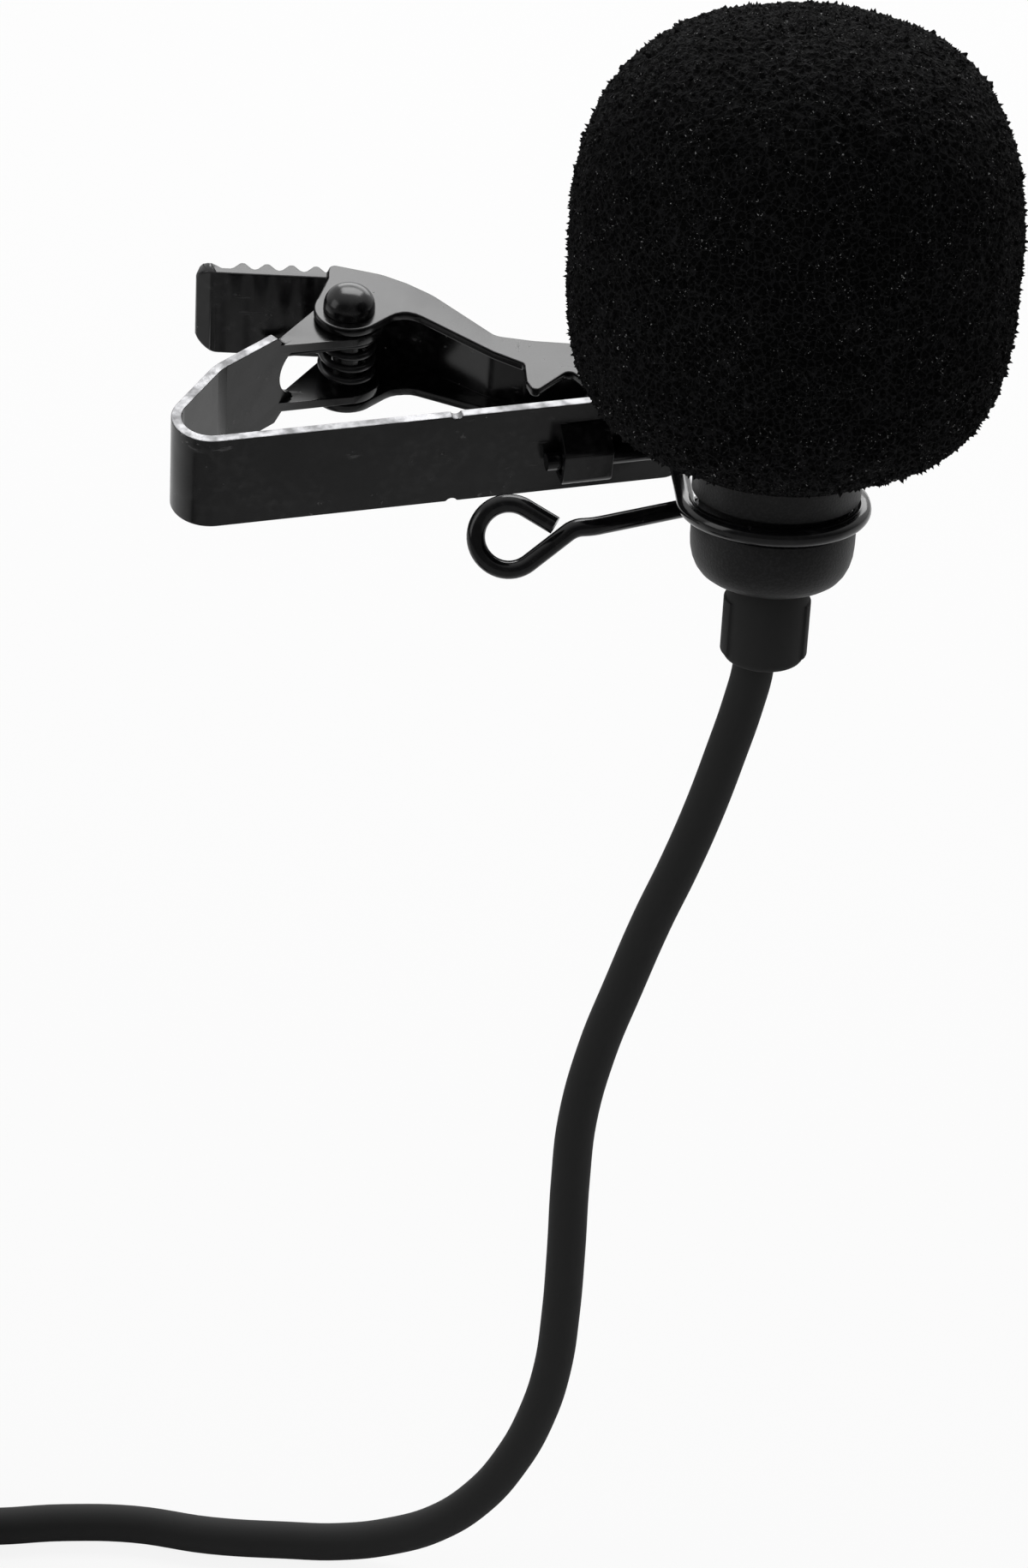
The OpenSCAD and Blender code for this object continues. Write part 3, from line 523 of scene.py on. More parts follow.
@dataclass(frozen=True)
class SatinMoulding(Finish):
    """Moulded plastic or rubber with an eroded grain."""

    grain: float = 0.16
    grain_depth: float = 0.02
    roughness: float = 0.5
    specular: float = 0.4

    def paint(self, shader: Shader) -> None:
        """Adds the grain, a slight cloud and a little dust.

        Args:
            shader: the shader to dress.
        """
        grain = shader.noise(self.grain, 3.0)
        cloud = shader.noise(2.2, 3.0, 2.0)
        dust = shader.cells(0.8).band(0.1, 0.04) * shader.noise(2.1, 1.0, 6.0).band(0.6, 0.72)
        share = cloud * 0.3 + dust * 0.5 + grain.band(0.42, 0.7) * 0.5
        shader.dress(
            color=shader.blend(share, self.dark, self.pale),
            roughness=self.roughness + grain * 0.12 - cloud * 0.08,
            specular=self.specular,
            normal=shader.bump(grain, self.grain_depth),
        )


@dataclass(frozen=True)
class CordJacket(Finish):
    """A soft drawn jacket: satin, faintly uneven, with a few specks of dust."""

    def paint(self, shader: Shader) -> None:
        """Adds the drawing marks and the specks.

        Args:
            shader: the shader to dress.
        """
        drawn = shader.noise(0.35, 3.0)
        waves = shader.noise(3.0, 2.0, 1.0)
        specks = shader.cells(1.9).band(0.055, 0.03) * shader.noise(5.0, 1.0, 8.0).band(0.55, 0.65)
        shader.dress(
            color=shader.blend(specks, self.dark, self.pale),
            roughness=0.46 + waves * 0.14 + specks * 0.3,
            specular=0.34,
            normal=shader.bump(drawn * 0.4 + waves, 0.02),
        )


@dataclass(frozen=True)
class PlatedMetal(Finish):
    """Bright plated or drawn metal with turning marks."""

    roughness: float = 0.2

    def paint(self, shader: Shader) -> None:
        """Adds fine turning marks and light stains.

        Args:
            shader: the shader to dress.
        """
        marks = shader.noise(0.08, 2.0)
        stain = shader.noise(1.6, 3.0, 5.0)
        shader.dress(
            color=shader.blend(stain, self.dark, self.pale),
            metallic=1.0,
            roughness=self.roughness + stain * 0.1,
            normal=shader.bump(marks, 0.004),
        )


@dataclass(frozen=True)
class LoopFabric(Finish):
    """Hook-and-loop fabric: a nap of tiny loops over a plain weave."""

    def paint(self, shader: Shader) -> None:
        """Raises the loops, and paints their tips lighter and the hollows between them darker as
        painted shade.

        Args:
            shader: the shader to dress.
        """
        loops = shader.cells(0.34).band(0.1, 0.55)
        nap = shader.noise(0.15, 3.0)
        # Painted shade: the loops' tips, which the bump raises, are lighter and the hollows between
        # them darker; the nap is random tone.
        share = (1 - loops) * 0.5 + nap * 0.5
        shader.dress(
            color=shader.blend(share, self.dark, self.pale),
            roughness=0.9,
            specular=0.15,
            sheen=0.3,
            normal=shader.bump(share, 0.12),
        )


# The foam's dark tone is the pores' painted shade, and its glint colour is a painted highlight.
FOAM = FoamFinish("black_foam", Slot.FOAM, (0.0005, 0.0005, 0.0006), (0.018, 0.018, 0.019), 0.46)
HOUSING = SatinMoulding(
    "housing_satin", Slot.HOUSING, (0.003, 0.003, 0.0032), (0.02, 0.02, 0.021), 0.15, 0.03, 0.46
)
GRILLE = SatinMoulding(
    "grille_satin", Slot.HOUSING, (0.01, 0.01, 0.0105), (0.025, 0.025, 0.026), 0.1, 0.008, 0.38
)
# The cloth and the strap below take LoopFabric's painted shade between the loops.
CLOTH = LoopFabric("acoustic_weave", Slot.CLOTH, (0.015, 0.015, 0.016), (0.07, 0.07, 0.072))
CAN = PlatedMetal("capsule_can", Slot.CAN, (0.55, 0.56, 0.57), (0.68, 0.69, 0.7), 0.3)
BOARD = SatinMoulding(
    "board_lacquer", Slot.BOARD, (0.015, 0.09, 0.04), (0.03, 0.15, 0.07), 0.5, 0.01, 0.35, 0.5
)
LEAD = SatinMoulding(
    "lead_sleeve", Slot.LEAD, (0.4, 0.03, 0.02), (0.55, 0.05, 0.035), 0.3, 0.01, 0.4, 0.5
)
RELIEF = SatinMoulding(
    "relief_rubber", Slot.RELIEF, (0.002, 0.002, 0.0022), (0.016, 0.016, 0.017), 0.2, 0.06, 0.55, 0.28
)
CLIP = GlossPaint("clip_gloss", Slot.CLIP, (0.003, 0.003, 0.0033), (0.3, 0.3, 0.3))
THUMB = RidgedPaint("thumb_gloss", Slot.CLIP, (0.004, 0.004, 0.0045), (0.3, 0.3, 0.3), 0.2)
EDGE = CutEdge("clip_cut_edge", Slot.CLIP, (0.13, 0.13, 0.135), (0.36, 0.36, 0.37))
SPRING = GlossPaint("spring_gloss", Slot.SPRING, (0.012, 0.012, 0.013), (0.2, 0.2, 0.2), 0.25, 0.3)
WIRE = GlossPaint("wire_gloss", Slot.WIRE, (0.004, 0.004, 0.0045), (0.2, 0.2, 0.2), 0.1, 0.3)
JACKET = CordJacket("cord_jacket", Slot.CORD, (0.007, 0.007, 0.0072), (0.35, 0.35, 0.34))
STRAP = LoopFabric("strap_loops", Slot.STRAP, (0.008, 0.008, 0.0085), (0.035, 0.035, 0.036))
SHELL = SatinMoulding(
    "plug_moulding", Slot.SHELL, (0.009, 0.009, 0.0095), (0.02, 0.02, 0.021), 0.14, 0.012, 0.45
)
NICKEL = PlatedMetal("plug_nickel", Slot.CONTACT, (0.7, 0.7, 0.69), (0.82, 0.83, 0.84), 0.12)
INSULATOR = SatinMoulding(
    "plug_insulator", Slot.INSULATION, (0.01, 0.01, 0.011), (0.02, 0.02, 0.021), 0.3, 0.006, 0.28
)


# ---- The bench: operators that every piece is modelled with


class Bench:
    """Selection, edit mode, modifiers and the last steps of every piece."""

    @staticmethod
    def pick(piece: Piece) -> None:
        """Leaves only one piece selected and active.

        Args:
            piece: that piece.
        """
        bpy.ops.object.select_all(action="DESELECT")
        piece.select_set(True)
        bpy.context.view_layer.objects.active = piece

    @staticmethod
    @contextlib.contextmanager
    def editing(piece: Piece, kind: str = "VERT") -> Iterator[None]:
        """Opens edit mode on one piece, with nothing selected at its start.

        Args:
            piece: that piece.
            kind: whether vertices, edges or faces are selected.
        """
        Bench.pick(piece)
        bpy.ops.object.mode_set(mode="EDIT")
        bpy.ops.mesh.select_mode(type=kind)
        bpy.ops.mesh.select_all(action="DESELECT")
        yield
        bpy.ops.object.mode_set(mode="OBJECT")

    @staticmethod
    def choose(piece: Piece, test: Callable[[bmesh.types.BMFace], bool]) -> None:
        """Selects in edit mode the faces that pass a test.

        Args:
            piece: the piece in edit mode.
            test: says whether a face is selected.
        """
        shape = bmesh.from_edit_mesh(piece.data)
        for face in shape.faces:
            face.select_set(bool(test(face)))
        shape.select_flush_mode()
        bmesh.update_edit_mesh(piece.data)

    @staticmethod
    def modify(piece: Piece, kind: str, **settings: object) -> None:
        """Adds a modifier and applies it.

        Args:
            piece: the piece that it shapes.
            kind: the modifier's type.
            settings: its own properties.
        """
        Bench.pick(piece)
        modifier = piece.modifiers.new(kind.title(), kind)
        for name, value in settings.items():
            setattr(modifier, name, value)
        bpy.ops.object.modifier_apply(modifier=modifier.name)

    @staticmethod
    def smooth(piece: Piece, degrees: float) -> None:
        """Shades smooth, with edges sharper than an angle kept."""
        Bench.pick(piece)
        bpy.ops.object.shade_smooth_by_angle(angle=math.radians(degrees))

    @staticmethod
    def round_edges(piece: Piece, width: float, degrees: float = 35.0, clamp: bool = True) -> None:
        """Rounds a piece's sharp edges.

        Args:
            piece: the piece.
            width: how wide the rounding is, in mm.
            degrees: the least angle of an edge that is rounded.
            clamp: whether the rounding narrows where two edges would meet.
        """
        Bench.modify(
            piece,
            "BEVEL",
            width=width * MM,
            segments=2,
            limit_method="ANGLE",
            angle_limit=math.radians(degrees),
            use_clamp_overlap=clamp,
        )

    @staticmethod
    def bend_wire(name: str, line: Sequence[Vector], diameter: float, sides: int, steps: int) -> Piece:
        """Bends a round wire or cord along a line, as one open spline.

        Args:
            name: the piece's name.
            line: the points of its middle line, in metres.
            diameter: how thick it is, in mm.
            sides: how finely its section is rounded.
            steps: how many lengths there are from point to point.

        Returns:
            The curve's object.
        """
        curve = bpy.data.curves.new(name, "CURVE")
        curve.dimensions = "3D"
        curve.bevel_depth = diameter / 2 * MM
        curve.bevel_resolution = sides
        curve.resolution_u = steps
        curve.use_fill_caps = True
        spline = curve.splines.new("BEZIER")
        spline.bezier_points.add(len(line) - 1)
        for point, place in zip(spline.bezier_points, line):
            point.co = place
            point.handle_left_type = point.handle_right_type = "AUTO"
        return Bench.put(name, curve)

    @staticmethod
    def put(name: str, data: bpy.types.ID) -> Piece:
        """Puts a new object with the given data in the scene."""
        thing = bpy.data.objects.new(name, data)
        bpy.context.scene.collection.objects.link(thing)
        return thing

    @staticmethod
    def mesh_of(piece: Piece) -> Piece:
        """Turns a curve's object into a mesh."""
        Bench.pick(piece)
        bpy.ops.object.convert(target="MESH")
        return bpy.context.view_layer.objects.active

    @staticmethod
    def copy_node(node: str, name: str) -> Piece:
        """Copies a frame node's mesh, merges its triangles and joins its flat faces.

        Args:
            node: the frame node.
            name: the new piece's name.

        Returns:
            The new piece.
        """
        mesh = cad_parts[node].data.copy()
        mesh.name = name
        mesh.materials.clear()
        piece = Bench.put(name, mesh)
        with Bench.editing(piece):
            bpy.ops.mesh.select_all(action="SELECT")
            bpy.ops.mesh.remove_doubles(threshold=1e-6)
            bpy.ops.mesh.dissolve_limited(angle_limit=math.radians(0.3))
        bpy.ops.mesh.customdata_custom_splitnormals_clear()
        return piece

    @staticmethod
    def settle(piece: Piece, body: Body | None, finishes: Sequence[Finish], *nodes: str) -> Piece:
        """Gives a finished piece its finishes, its body and the nodes that it stands for.

        Args:
            piece: the finished piece.
            body: the body that it rides on, or None where it rides on no body.
            finishes: its finishes, in the order of the mesh's material indices.
            nodes: the frame nodes that it replaces.

        Returns:
            The piece.
        """
        for finish in finishes:
            piece.data.materials.append(finish.make())
        if body:
            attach(piece, body.value)
        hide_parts(*nodes)
        LOG.info("%s stands for %s", piece.name, ", ".join(nodes))
        return piece

    @staticmethod
    def dress_node(node: str, finish: Finish) -> None:
        """Gives a frame node that keeps its own shape a finish.

        Args:
            node: the frame node.
            finish: its finish.
        """
        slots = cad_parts[node].data.materials
        slots.clear()
        slots.append(finish.make())
        LOG.info("%s keeps its own shape in %s", node, finish.name)


# ---- Cord


def ease(t: float) -> float:
    """Rises smoothly from 0 to 1 as t does."""
    t = min(1.0, max(0.0, t))
    return t * t * (3 - 2 * t)


@dataclass
class Cord:
    """The cord: hanging from the strain relief, along the table, round its coil, to the plug."""

    length: float = 1.2
    diameter: float = 2.45
    coil_centre: tuple[float, float] = (-66.0, -12.0)
    coil_outer: float = 18.7
    pitch: float = 2.9
    layers: int = 4
    turns_per_layer: float = 2.75
    steps_per_turn: int = 24
    coil_floor: float = -76.975
    # Down from the relief, onto the table, and along it to the coil
    hanging: tuple[Triple, ...] = (
        (-0.5, 0, -9.75), (-0.5, 0, -10.35), (-0.9, 0.1, -12.8), (-1.7, 0.2, -16.2),
        (-2.7, 0.4, -20.1), (-3.9, 0.6, -24), (-5.3, 0.8, -28), (-6.7, 1, -32.6),
        (-8.1, 1.3, -37.6), (-9, 1.4, -42.6), (-9.2, 1.5, -47.2), (-9.2, 1.5, -52.6),
        (-9.3, 1.5, -57.4), (-9.6, 1.5, -61.4), (-10.4, 1.6, -65.2), (-11.9, 1.9, -69.2),
        (-14, 2.2, -72.6), (-16.6, 2.6, -75.1), (-19.6, 3.1, -76.7), (-23, 3.6, -77.7),
        (-26.6, 3.9, -77.975), (-31.6, 4.1, -77.975), (-36.8, 5, -77.975),
        (-41.4, 4.9, -77.975), (-46.6, 4.2, -77.975), (-52.6, 4.4, -77.775),
        (-58.4, 5.9, -77.175), (-63.55, 6.7, -76.975),
    )
    # From the coil's end to the plug's relief
    tail: tuple[Triple, ...] = (
        (-68.45, 6.7, -68.275), (-72.6, 6.1, -68), (-75.8, 4.5, -66.9), (-78, 2.5, -65.4),
        (-79.2, 0.3, -64.3), (-79.5, -1.7, -63.7), (-79.5, -4.1, -63.65),
    )

    def coil_point(self, turn: float) -> Triple:
        """Finds a point of the coil, which spirals in and out and climbs a layer each time.

        Args:
            turn: how many turns from the coil's start.

        Returns:
            The point in the microphone's own frame.
        """
        phase = turn / self.turns_per_layer % 2
        inward = phase if phase < 1 else 2 - phase
        radius = self.coil_outer - inward * self.turns_per_layer * self.pitch
        level = self.coil_floor + self.pitch * sum(
            ease((turn - k * self.turns_per_layer) * 2 + 0.5) for k in range(1, self.layers)
        )
        angle = math.radians(90) + 2 * math.pi * turn
        return (
            self.coil_centre[0] + radius * math.cos(angle),
            self.coil_centre[1] + radius * math.sin(angle),
            level,
        )

    def route(self) -> list[Vector]:
        """Joins the hanging stretch, the coil and the tail.

        Returns:
            The whole line of the cord in the row frame, in metres.
        """
        steps = round(self.layers * self.turns_per_layer * self.steps_per_turn)
        winding = [self.coil_point(i / self.steps_per_turn) for i in range(steps + 1)]
        return [on_mic(p) for p in (*self.hanging, *winding, *self.tail)]

    def build(self) -> Piece:
        """Makes the cord as one open spline with a round section."""
        piece = Bench.bend_wire("cord", self.route(), self.diameter, sides=10, steps=6)
        nodes = ("cable", "cable_coil", "cable_tail")
        return Bench.settle(piece, Body.MICROPHONE, [JACKET], *nodes)


@dataclass
class Strap:
    """The hook-and-loop strap round the coil, lapped on its outer side."""

    width: float = 8.0
    thickness: float = 0.8
    azimuth: float = 330.0
    room: float = 0.2
    corner: float = 1.6

    def line(self, cord: Cord) -> list[tuple[float, float]]:
        """Goes round the coil's section and laps over its own start.

        Args:
            cord: the cord, with its coil.

        Returns:
            The strap's middle line, as (distance from the coil's centre, height), in mm.
        """
        inner_turn = cord.coil_outer - cord.turns_per_layer * cord.pitch - cord.diameter / 2
        near = math.sqrt(inner_turn**2 - (self.width / 2) ** 2) - self.room
        far = cord.coil_outer + cord.diameter / 2 + self.room
        low = cord.coil_floor - cord.diameter / 2 - self.room
        climb = (cord.layers - 1) * cord.pitch
        high = cord.coil_floor + climb + cord.diameter / 2 + self.room
        offset = self.thickness / 2
        radius = self.corner
        corners = [
            (near - offset, high + offset, 90, 180),
            (near - offset, low - offset, 180, 270),
            (far + offset, low - offset, 270, 360),
            (far + offset, high + offset, 0, 90),
        ]
        points = [(far + offset, low + 3.4)]
        for x, z, start, stop in (corners[3], *corners[:3]):
            centre = (
                x + (radius if x < (near + far) / 2 else -radius),
                z + (radius if z < (low + high) / 2 else -radius),
            )
            for k in range(9):
                angle = math.radians(start + (stop - start) * k / 8)
                points.append(
                    (centre[0] + radius * math.cos(angle), centre[1] + radius * math.sin(angle))
                )
        lap = far + offset + self.thickness
        points += [(far + offset + 0.25, low + 2.0), (lap, low + 3.4), (lap + 0.1, low + 6.4)]
        points.append((lap + 0.22, low + 7.6))
        return points

    def build(self, cord: Cord) -> Piece:
        """Bends a flat ribbon round the coil and thickens it.

        Args:
            cord: the cord, with its coil.

        Returns:
            The strap.
        """
        curve = bpy.data.curves.new("strap", "CURVE")
        curve.dimensions = "2D"
        curve.fill_mode = "NONE"
        curve.extrude = self.width / 2 * MM
        spline = curve.splines.new("POLY")
        line = self.line(cord)
        spline.points.add(len(line) - 1)
        for point, (x, z) in zip(spline.points, line):
            point.co = (x * MM, z * MM, 0, 1)
        piece = Bench.mesh_of(Bench.put("strap", curve))
        piece.matrix_world = (
            Matrix.Translation(on_mic((*cord.coil_centre, 0)))
            @ Matrix.Rotation(math.radians(self.azimuth), 4, "Z")
            @ Matrix.Rotation(math.radians(90), 4, "X")
        )
        bpy.ops.object.transform_apply(location=True, rotation=True, scale=True)
        with Bench.editing(piece):
            bpy.ops.mesh.select_all(action="SELECT")
            bpy.ops.mesh.remove_doubles(threshold=1e-6)
            bpy.ops.mesh.subdivide(number_cuts=5)
            bpy.ops.mesh.normals_make_consistent(inside=False)
        Bench.modify(piece, "SOLIDIFY", thickness=self.thickness * MM * 0.9, offset=0)
        Bench.round_edges(piece, 0.15, math.degrees(0.9))
        Bench.smooth(piece, 40)
        return Bench.settle(piece, Body.MICROPHONE, [STRAP], "cable_tie")


# ---- Windscreen


@dataclass
class Windscreen:
    """The foam ball, with the mouth and the socket that take the capsule."""

    radius: float = 12.42
    rise: float = 13.66
    drop: float = 11.4
    lean: float = -0.1
    seed: int = 11
    torn_one_in: int = 12
    strut: float = 0.3
    strut_power: float = 1.5
    shoulder_power: float = 2.75
    skirt_power: float = 3.0
    floor: float = 2.95
    mouth_radius: float = 6.1
    socket_radius: float = 4.88
    socket_depth: float = 13.2
    skin_radius: float = 7.5
    skin_start: float = 0.35
    skin_from: float = 1.02
    # Each layer's kind, size, strength and level
    skin_layers: tuple[tuple[str, float, float, float], ...] = (
        ("CLOUDS", 6.0, 0.35, 0.5),
        ("VORONOI", 0.42, 0.3, 0.45),
        ("CLOUDS", 0.16, 0.22, 0.5),
    )

    def shape(self, direction: Vector) -> Vector:
        """Finds where a ray from the middle of the belly leaves the foam.

        Args:
            direction: a unit vector.

        Returns:
            The point on the foam's outline, from the belly's centre, in mm.
        """
        across = math.hypot(direction.x, direction.y)
        up = direction.z > 0
        power = self.shoulder_power if up else self.skirt_power
        height = self.rise if up else self.drop
        reach = (across / self.radius) ** power + (abs(direction.z) / height) ** power
        return direction * reach ** (-1 / power)

    def build(self) -> None:
        """Shapes a fine ball, opens its mouth, sinks its socket and tears up its skin."""
        bpy.ops.object.select_all(action="DESELECT")
        bpy.ops.mesh.primitive_ico_sphere_add(subdivisions=8, radius=1)
        piece = bpy.context.view_layer.objects.active
        piece.name = piece.data.name = "foam_windscreen"
        centre = on_mic((0, 0, self.floor + self.drop))
        for vertex in piece.data.vertices:
            place = self.shape(vertex.co.normalized())
            place.x += self.lean * ease(place.z / self.rise + 0.5)
            vertex.co = centre + place * MM
        self.open_mouth(piece, centre)
        skin = piece.vertex_groups.new(name="skin")
        low = centre.z - (self.drop - self.skin_start) * MM
        outer = [
            v.index
            for v in piece.data.vertices
            if v.co.z > low and (v.co - centre).length > self.skin_radius * MM
            or (v.co - centre).xy.length > self.mouth_radius * MM * self.skin_from
        ]
        skin.add(outer, 1.0, "REPLACE")
        for kind, size, strength, level in self.skin_layers:
            texture = bpy.data.textures.new(f"skin_{kind}_{size:g}", kind)
            texture.noise_scale = size * MM
            Bench.modify(
                piece,
                "DISPLACE",
                texture=texture,
                texture_coords="LOCAL",
                strength=strength * MM,
                mid_level=level,
                vertex_group="skin",
            )
        self.raise_struts(piece, outer)
        Bench.smooth(piece, 80)
        Bench.settle(piece, Body.FOAM, [FOAM], "windscreen")

    def raise_struts(self, piece: Piece, outer: Sequence[int]) -> None:
        """Draws torn struts out of the skin here and there.

        Args:
            piece: the foam.
            outer: the indices of its skin's vertices.
        """
        chance = random.Random(self.seed)
        picked = chance.sample(list(outer), len(outer) // self.torn_one_in)
        drawn = [piece.data.vertices[index].normal.copy() for index in picked]
        for index, normal in zip(picked, drawn):
            share = chance.random() ** self.strut_power
            piece.data.vertices[index].co += normal * self.strut * share * MM

    def open_mouth(self, piece: Piece, centre: Vector) -> None:
        """Cuts the mouth and draws its rim up into the socket.

        Args:
            piece: the ball.
            centre: the belly's centre in the row frame.
        """
        floor = centre.z - self.drop * MM
        rings = [
            (self.mouth_radius, 0.02),
            (5.7, 0.3),
            (5.2, 0.75),
            (self.socket_radius, 1.3),
            (self.socket_radius, 5.0),
            (self.socket_radius, 9.0),
            (self.socket_radius, self.socket_depth),
            (2.0, self.socket_depth),
        ]
        with Bench.editing(piece, "FACE"):
            Bench.choose(
                piece,
                lambda f: f.calc_center_median().z < centre.z
                and (f.calc_center_median() - centre).xy.length < self.mouth_radius * MM,
            )
            bpy.ops.mesh.delete(type="FACE")
            bpy.ops.mesh.select_mode(type="EDGE")
            bpy.ops.mesh.select_non_manifold()
            for index, (radius, height) in enumerate(rings):
                if index:
                    bpy.ops.mesh.extrude_edges_move()
                shape = bmesh.from_edit_mesh(piece.data)
                for vertex in shape.verts:
                    if vertex.select:
                        across = (vertex.co - centre).xy.normalized() * radius * MM
                        vertex.co = (centre.x + across.x, centre.y + across.y, floor + height * MM)
                bmesh.update_edit_mesh(piece.data)
            bpy.ops.mesh.edge_face_add()
            bpy.ops.mesh.select_all(action="SELECT")
            bpy.ops.mesh.normals_make_consistent(inside=False)


# ---- Capsule and its housing


@dataclass
class Housing:
    """Grille cap, capsule body, end cap and strain relief, and what they hold."""

    edge: float = 0.09
    cap_floor: float = -4.35
    cap_radius: float = 4.725
    foot_radius: float = 3.8
    foot_turn: float = 1.5
    slim_foot: float = 3.5
    slim_turn: float = 2.15
    near: float = 0.02

    def build(self) -> None:
        """Softens the turned edges of each piece and dresses the pieces inside."""
        for node, name, finish, edge in (
            ("grille_cap", "grille", GRILLE, 0.06),
            ("capsule_body", "housing", HOUSING, self.edge),
            ("end_cap", "housing_end", HOUSING, self.edge),
            ("strain_relief", "relief", RELIEF, 0.06),
        ):
            piece = Bench.copy_node(node, name)
            if node == "end_cap":
                self.draw_in_foot(piece)
            Bench.round_edges(piece, edge, 40)
            Bench.smooth(piece, 35)
            Bench.settle(piece, Body.MICROPHONE, [finish], node)
        for node, finish in (
            ("acoustic_cloth", CLOTH),
            ("capsule_gasket", RELIEF),
            ("microphone_capsule", CAN),
            ("capsule_board", BOARD),
            ("lead_wires", LEAD),
        ):
            Bench.dress_node(node, finish)

    def draw_in_foot(self, piece: Piece) -> None:
        """Carries the end cap's rounded foot further in and up than its solid's.

        Args:
            piece: the cap, still with its solid's shape.
        """
        floor = on_mic((0, 0, self.cap_floor))
        for vertex in piece.data.vertices:
            across = (vertex.co - floor).xy.length / MM
            height = (vertex.co.z - floor.z) / MM
            if across > self.foot_radius - self.near and height < self.foot_turn + self.near:
                wider = (across - self.foot_radius) / (self.cap_radius - self.foot_radius)
                drawn = self.cap_radius + (wider - 1) * (self.cap_radius - self.slim_foot)
                vertex.co.xy = floor.xy + (vertex.co - floor).xy * (drawn / across)
                vertex.co.z = floor.z + height * self.slim_turn / self.foot_turn * MM


# ---- Clip


@dataclass
class Clip:
    """Front arm, rear jaw, rivet and return spring."""

    edge: float = 0.08
    jaw_edge: float = 0.14
    rim_level: float = 2.95
    bend_at: Triple = (-7.75, -10.95, 0)
    arm_azimuth: float = 13.5
    tongue_at: float = 21.7
    window_half: float = 2.2
    window_slit: float = 0.9
    plate_root: float = -1.4
    near: float = 0.03
    spring_radius: float = 1.515
    spring_wire: float = 0.47
    spring_pitch: float = 0.9
    spring_start: float = 76.0
    spring_turns: float = 3 + (360 + 76 - 279) / 360
    spring_steps: int = 90

    def build(self) -> None:
        """Makes the four pieces."""
        arm = Bench.copy_node("front_arm", "clip_arm")
        self.close_window(arm)
        self.soften(arm, self.edge)
        self.mark_edges(arm)
        Bench.settle(arm, Body.FRONT, [CLIP, EDGE], "front_arm")
        jaw = Bench.copy_node("rear_jaw", "clip_jaw")
        self.soften(jaw, self.jaw_edge)
        self.mark_thumb_plate(jaw)
        Bench.settle(jaw, Body.JAW, [CLIP, THUMB], "rear_jaw")
        rivet = Bench.copy_node("pivot_rivet", "rivet")
        Bench.smooth(rivet, 40)
        Bench.settle(rivet, Body.FRONT, [CLIP], "pivot_rivet")
        self.build_spring()

    @staticmethod
    def soften(piece: Piece, width: float) -> None:
        """Rounds a piece's edges and shades its flat faces flat.

        Args:
            piece: the piece.
            width: how wide the rounding is, in mm.
        """
        Bench.round_edges(piece, width, clamp=False)
        Bench.smooth(piece, 35)
        Bench.modify(piece, "WEIGHTED_NORMAL", keep_sharp=True)

    def close_window(self, piece: Piece) -> None:
        """Brings both sides of the tongue's window close to the tongue, as a press cuts them.

        Args:
            piece: the arm, still with its solid's shape.
        """
        to_line = Matrix.Rotation(-math.radians(self.arm_azimuth), 4, "Z")
        along = (CLIP_PLACE.to_3x3() @ to_line.inverted().to_3x3() @ Vector((1, 0, 0))).normalized()
        side = self.window_half
        for vertex in piece.data.vertices:
            place = to_line @ (FROM_CLIP @ vertex.co - Vector(self.bend_at))
            off = place.x - self.tongue_at
            if abs(abs(off) - side) < self.near and abs(place.z) < self.rim_level:
                vertex.co -= along * math.copysign(side - self.window_slit, off) * MM

    def mark_edges(self, piece: Piece) -> None:
        """Gives the strip's sheared rim, which lies past the ears' faces, the second finish.

        Args:
            piece: the arm.
        """
        for face in piece.data.polygons:
            across = abs(face.normal.dot(RIVET_AXIS))
            level = abs((FROM_CLIP @ face.center).z)
            face.material_index = 1 if across > 0.6 and level > self.rim_level else 0

    def mark_thumb_plate(self, piece: Piece) -> None:
        """Gives the thumb plate's inner face, which looks towards the arm, the ridged finish.

        Args:
            piece: the jaw.
        """
        towards_arm = turned(CLIP_TILT).to_3x3() @ Vector((0, -1, 0))
        for face in piece.data.polygons:
            reach = (FROM_CLIP @ face.center).x
            if reach < self.plate_root and face.normal.dot(towards_arm) > 0.9:
                face.material_index = 1

    def spring_point(self, turn: float) -> Vector:
        """Finds a point of the winding.

        Args:
            turn: how many turns from the winding's start.

        Returns:
            The point from the rivet's centre, in mm.
        """
        angle = math.radians(self.spring_start - 360 * turn)
        level = (turn - self.spring_turns / 2) * self.spring_pitch
        return Vector(
            (self.spring_radius * math.cos(angle), self.spring_radius * math.sin(angle), level)
        )

    def build_spring(self) -> None:
        """Winds the return spring as a smooth wire, which rides on no body."""
        half = self.spring_turns * self.spring_pitch / 2
        steps = self.spring_steps
        plate_leg = [Vector((-5.0, 2.815, -half)), Vector((-3.2, 2.34, -half))]
        strip_leg = [Vector((-2.6, -1.95, half - 0.22)), Vector((-4.4, -2.2, half - 0.4))]
        winding = [self.spring_point(self.spring_turns * k / steps) for k in range(steps + 1)]
        line = [on_clip(p) for p in (*plate_leg, *winding, *strip_leg)]
        piece = Bench.mesh_of(Bench.bend_wire("spring", line, self.spring_wire, 4, 4))
        Bench.smooth(piece, 60)
        Bench.settle(piece, None, [SPRING], "return_spring")
        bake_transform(piece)


@dataclass
class WireHolder:
    """The bent wire that carries the microphone."""

    def build(self) -> None:
        """Shades the wire smooth and keeps its two cut ends sharp."""
        piece = Bench.copy_node("wire_holder", "holder_wire")
        Bench.smooth(piece, 40)
        Bench.settle(piece, Body.HOLDER, [WIRE], "wire_holder")


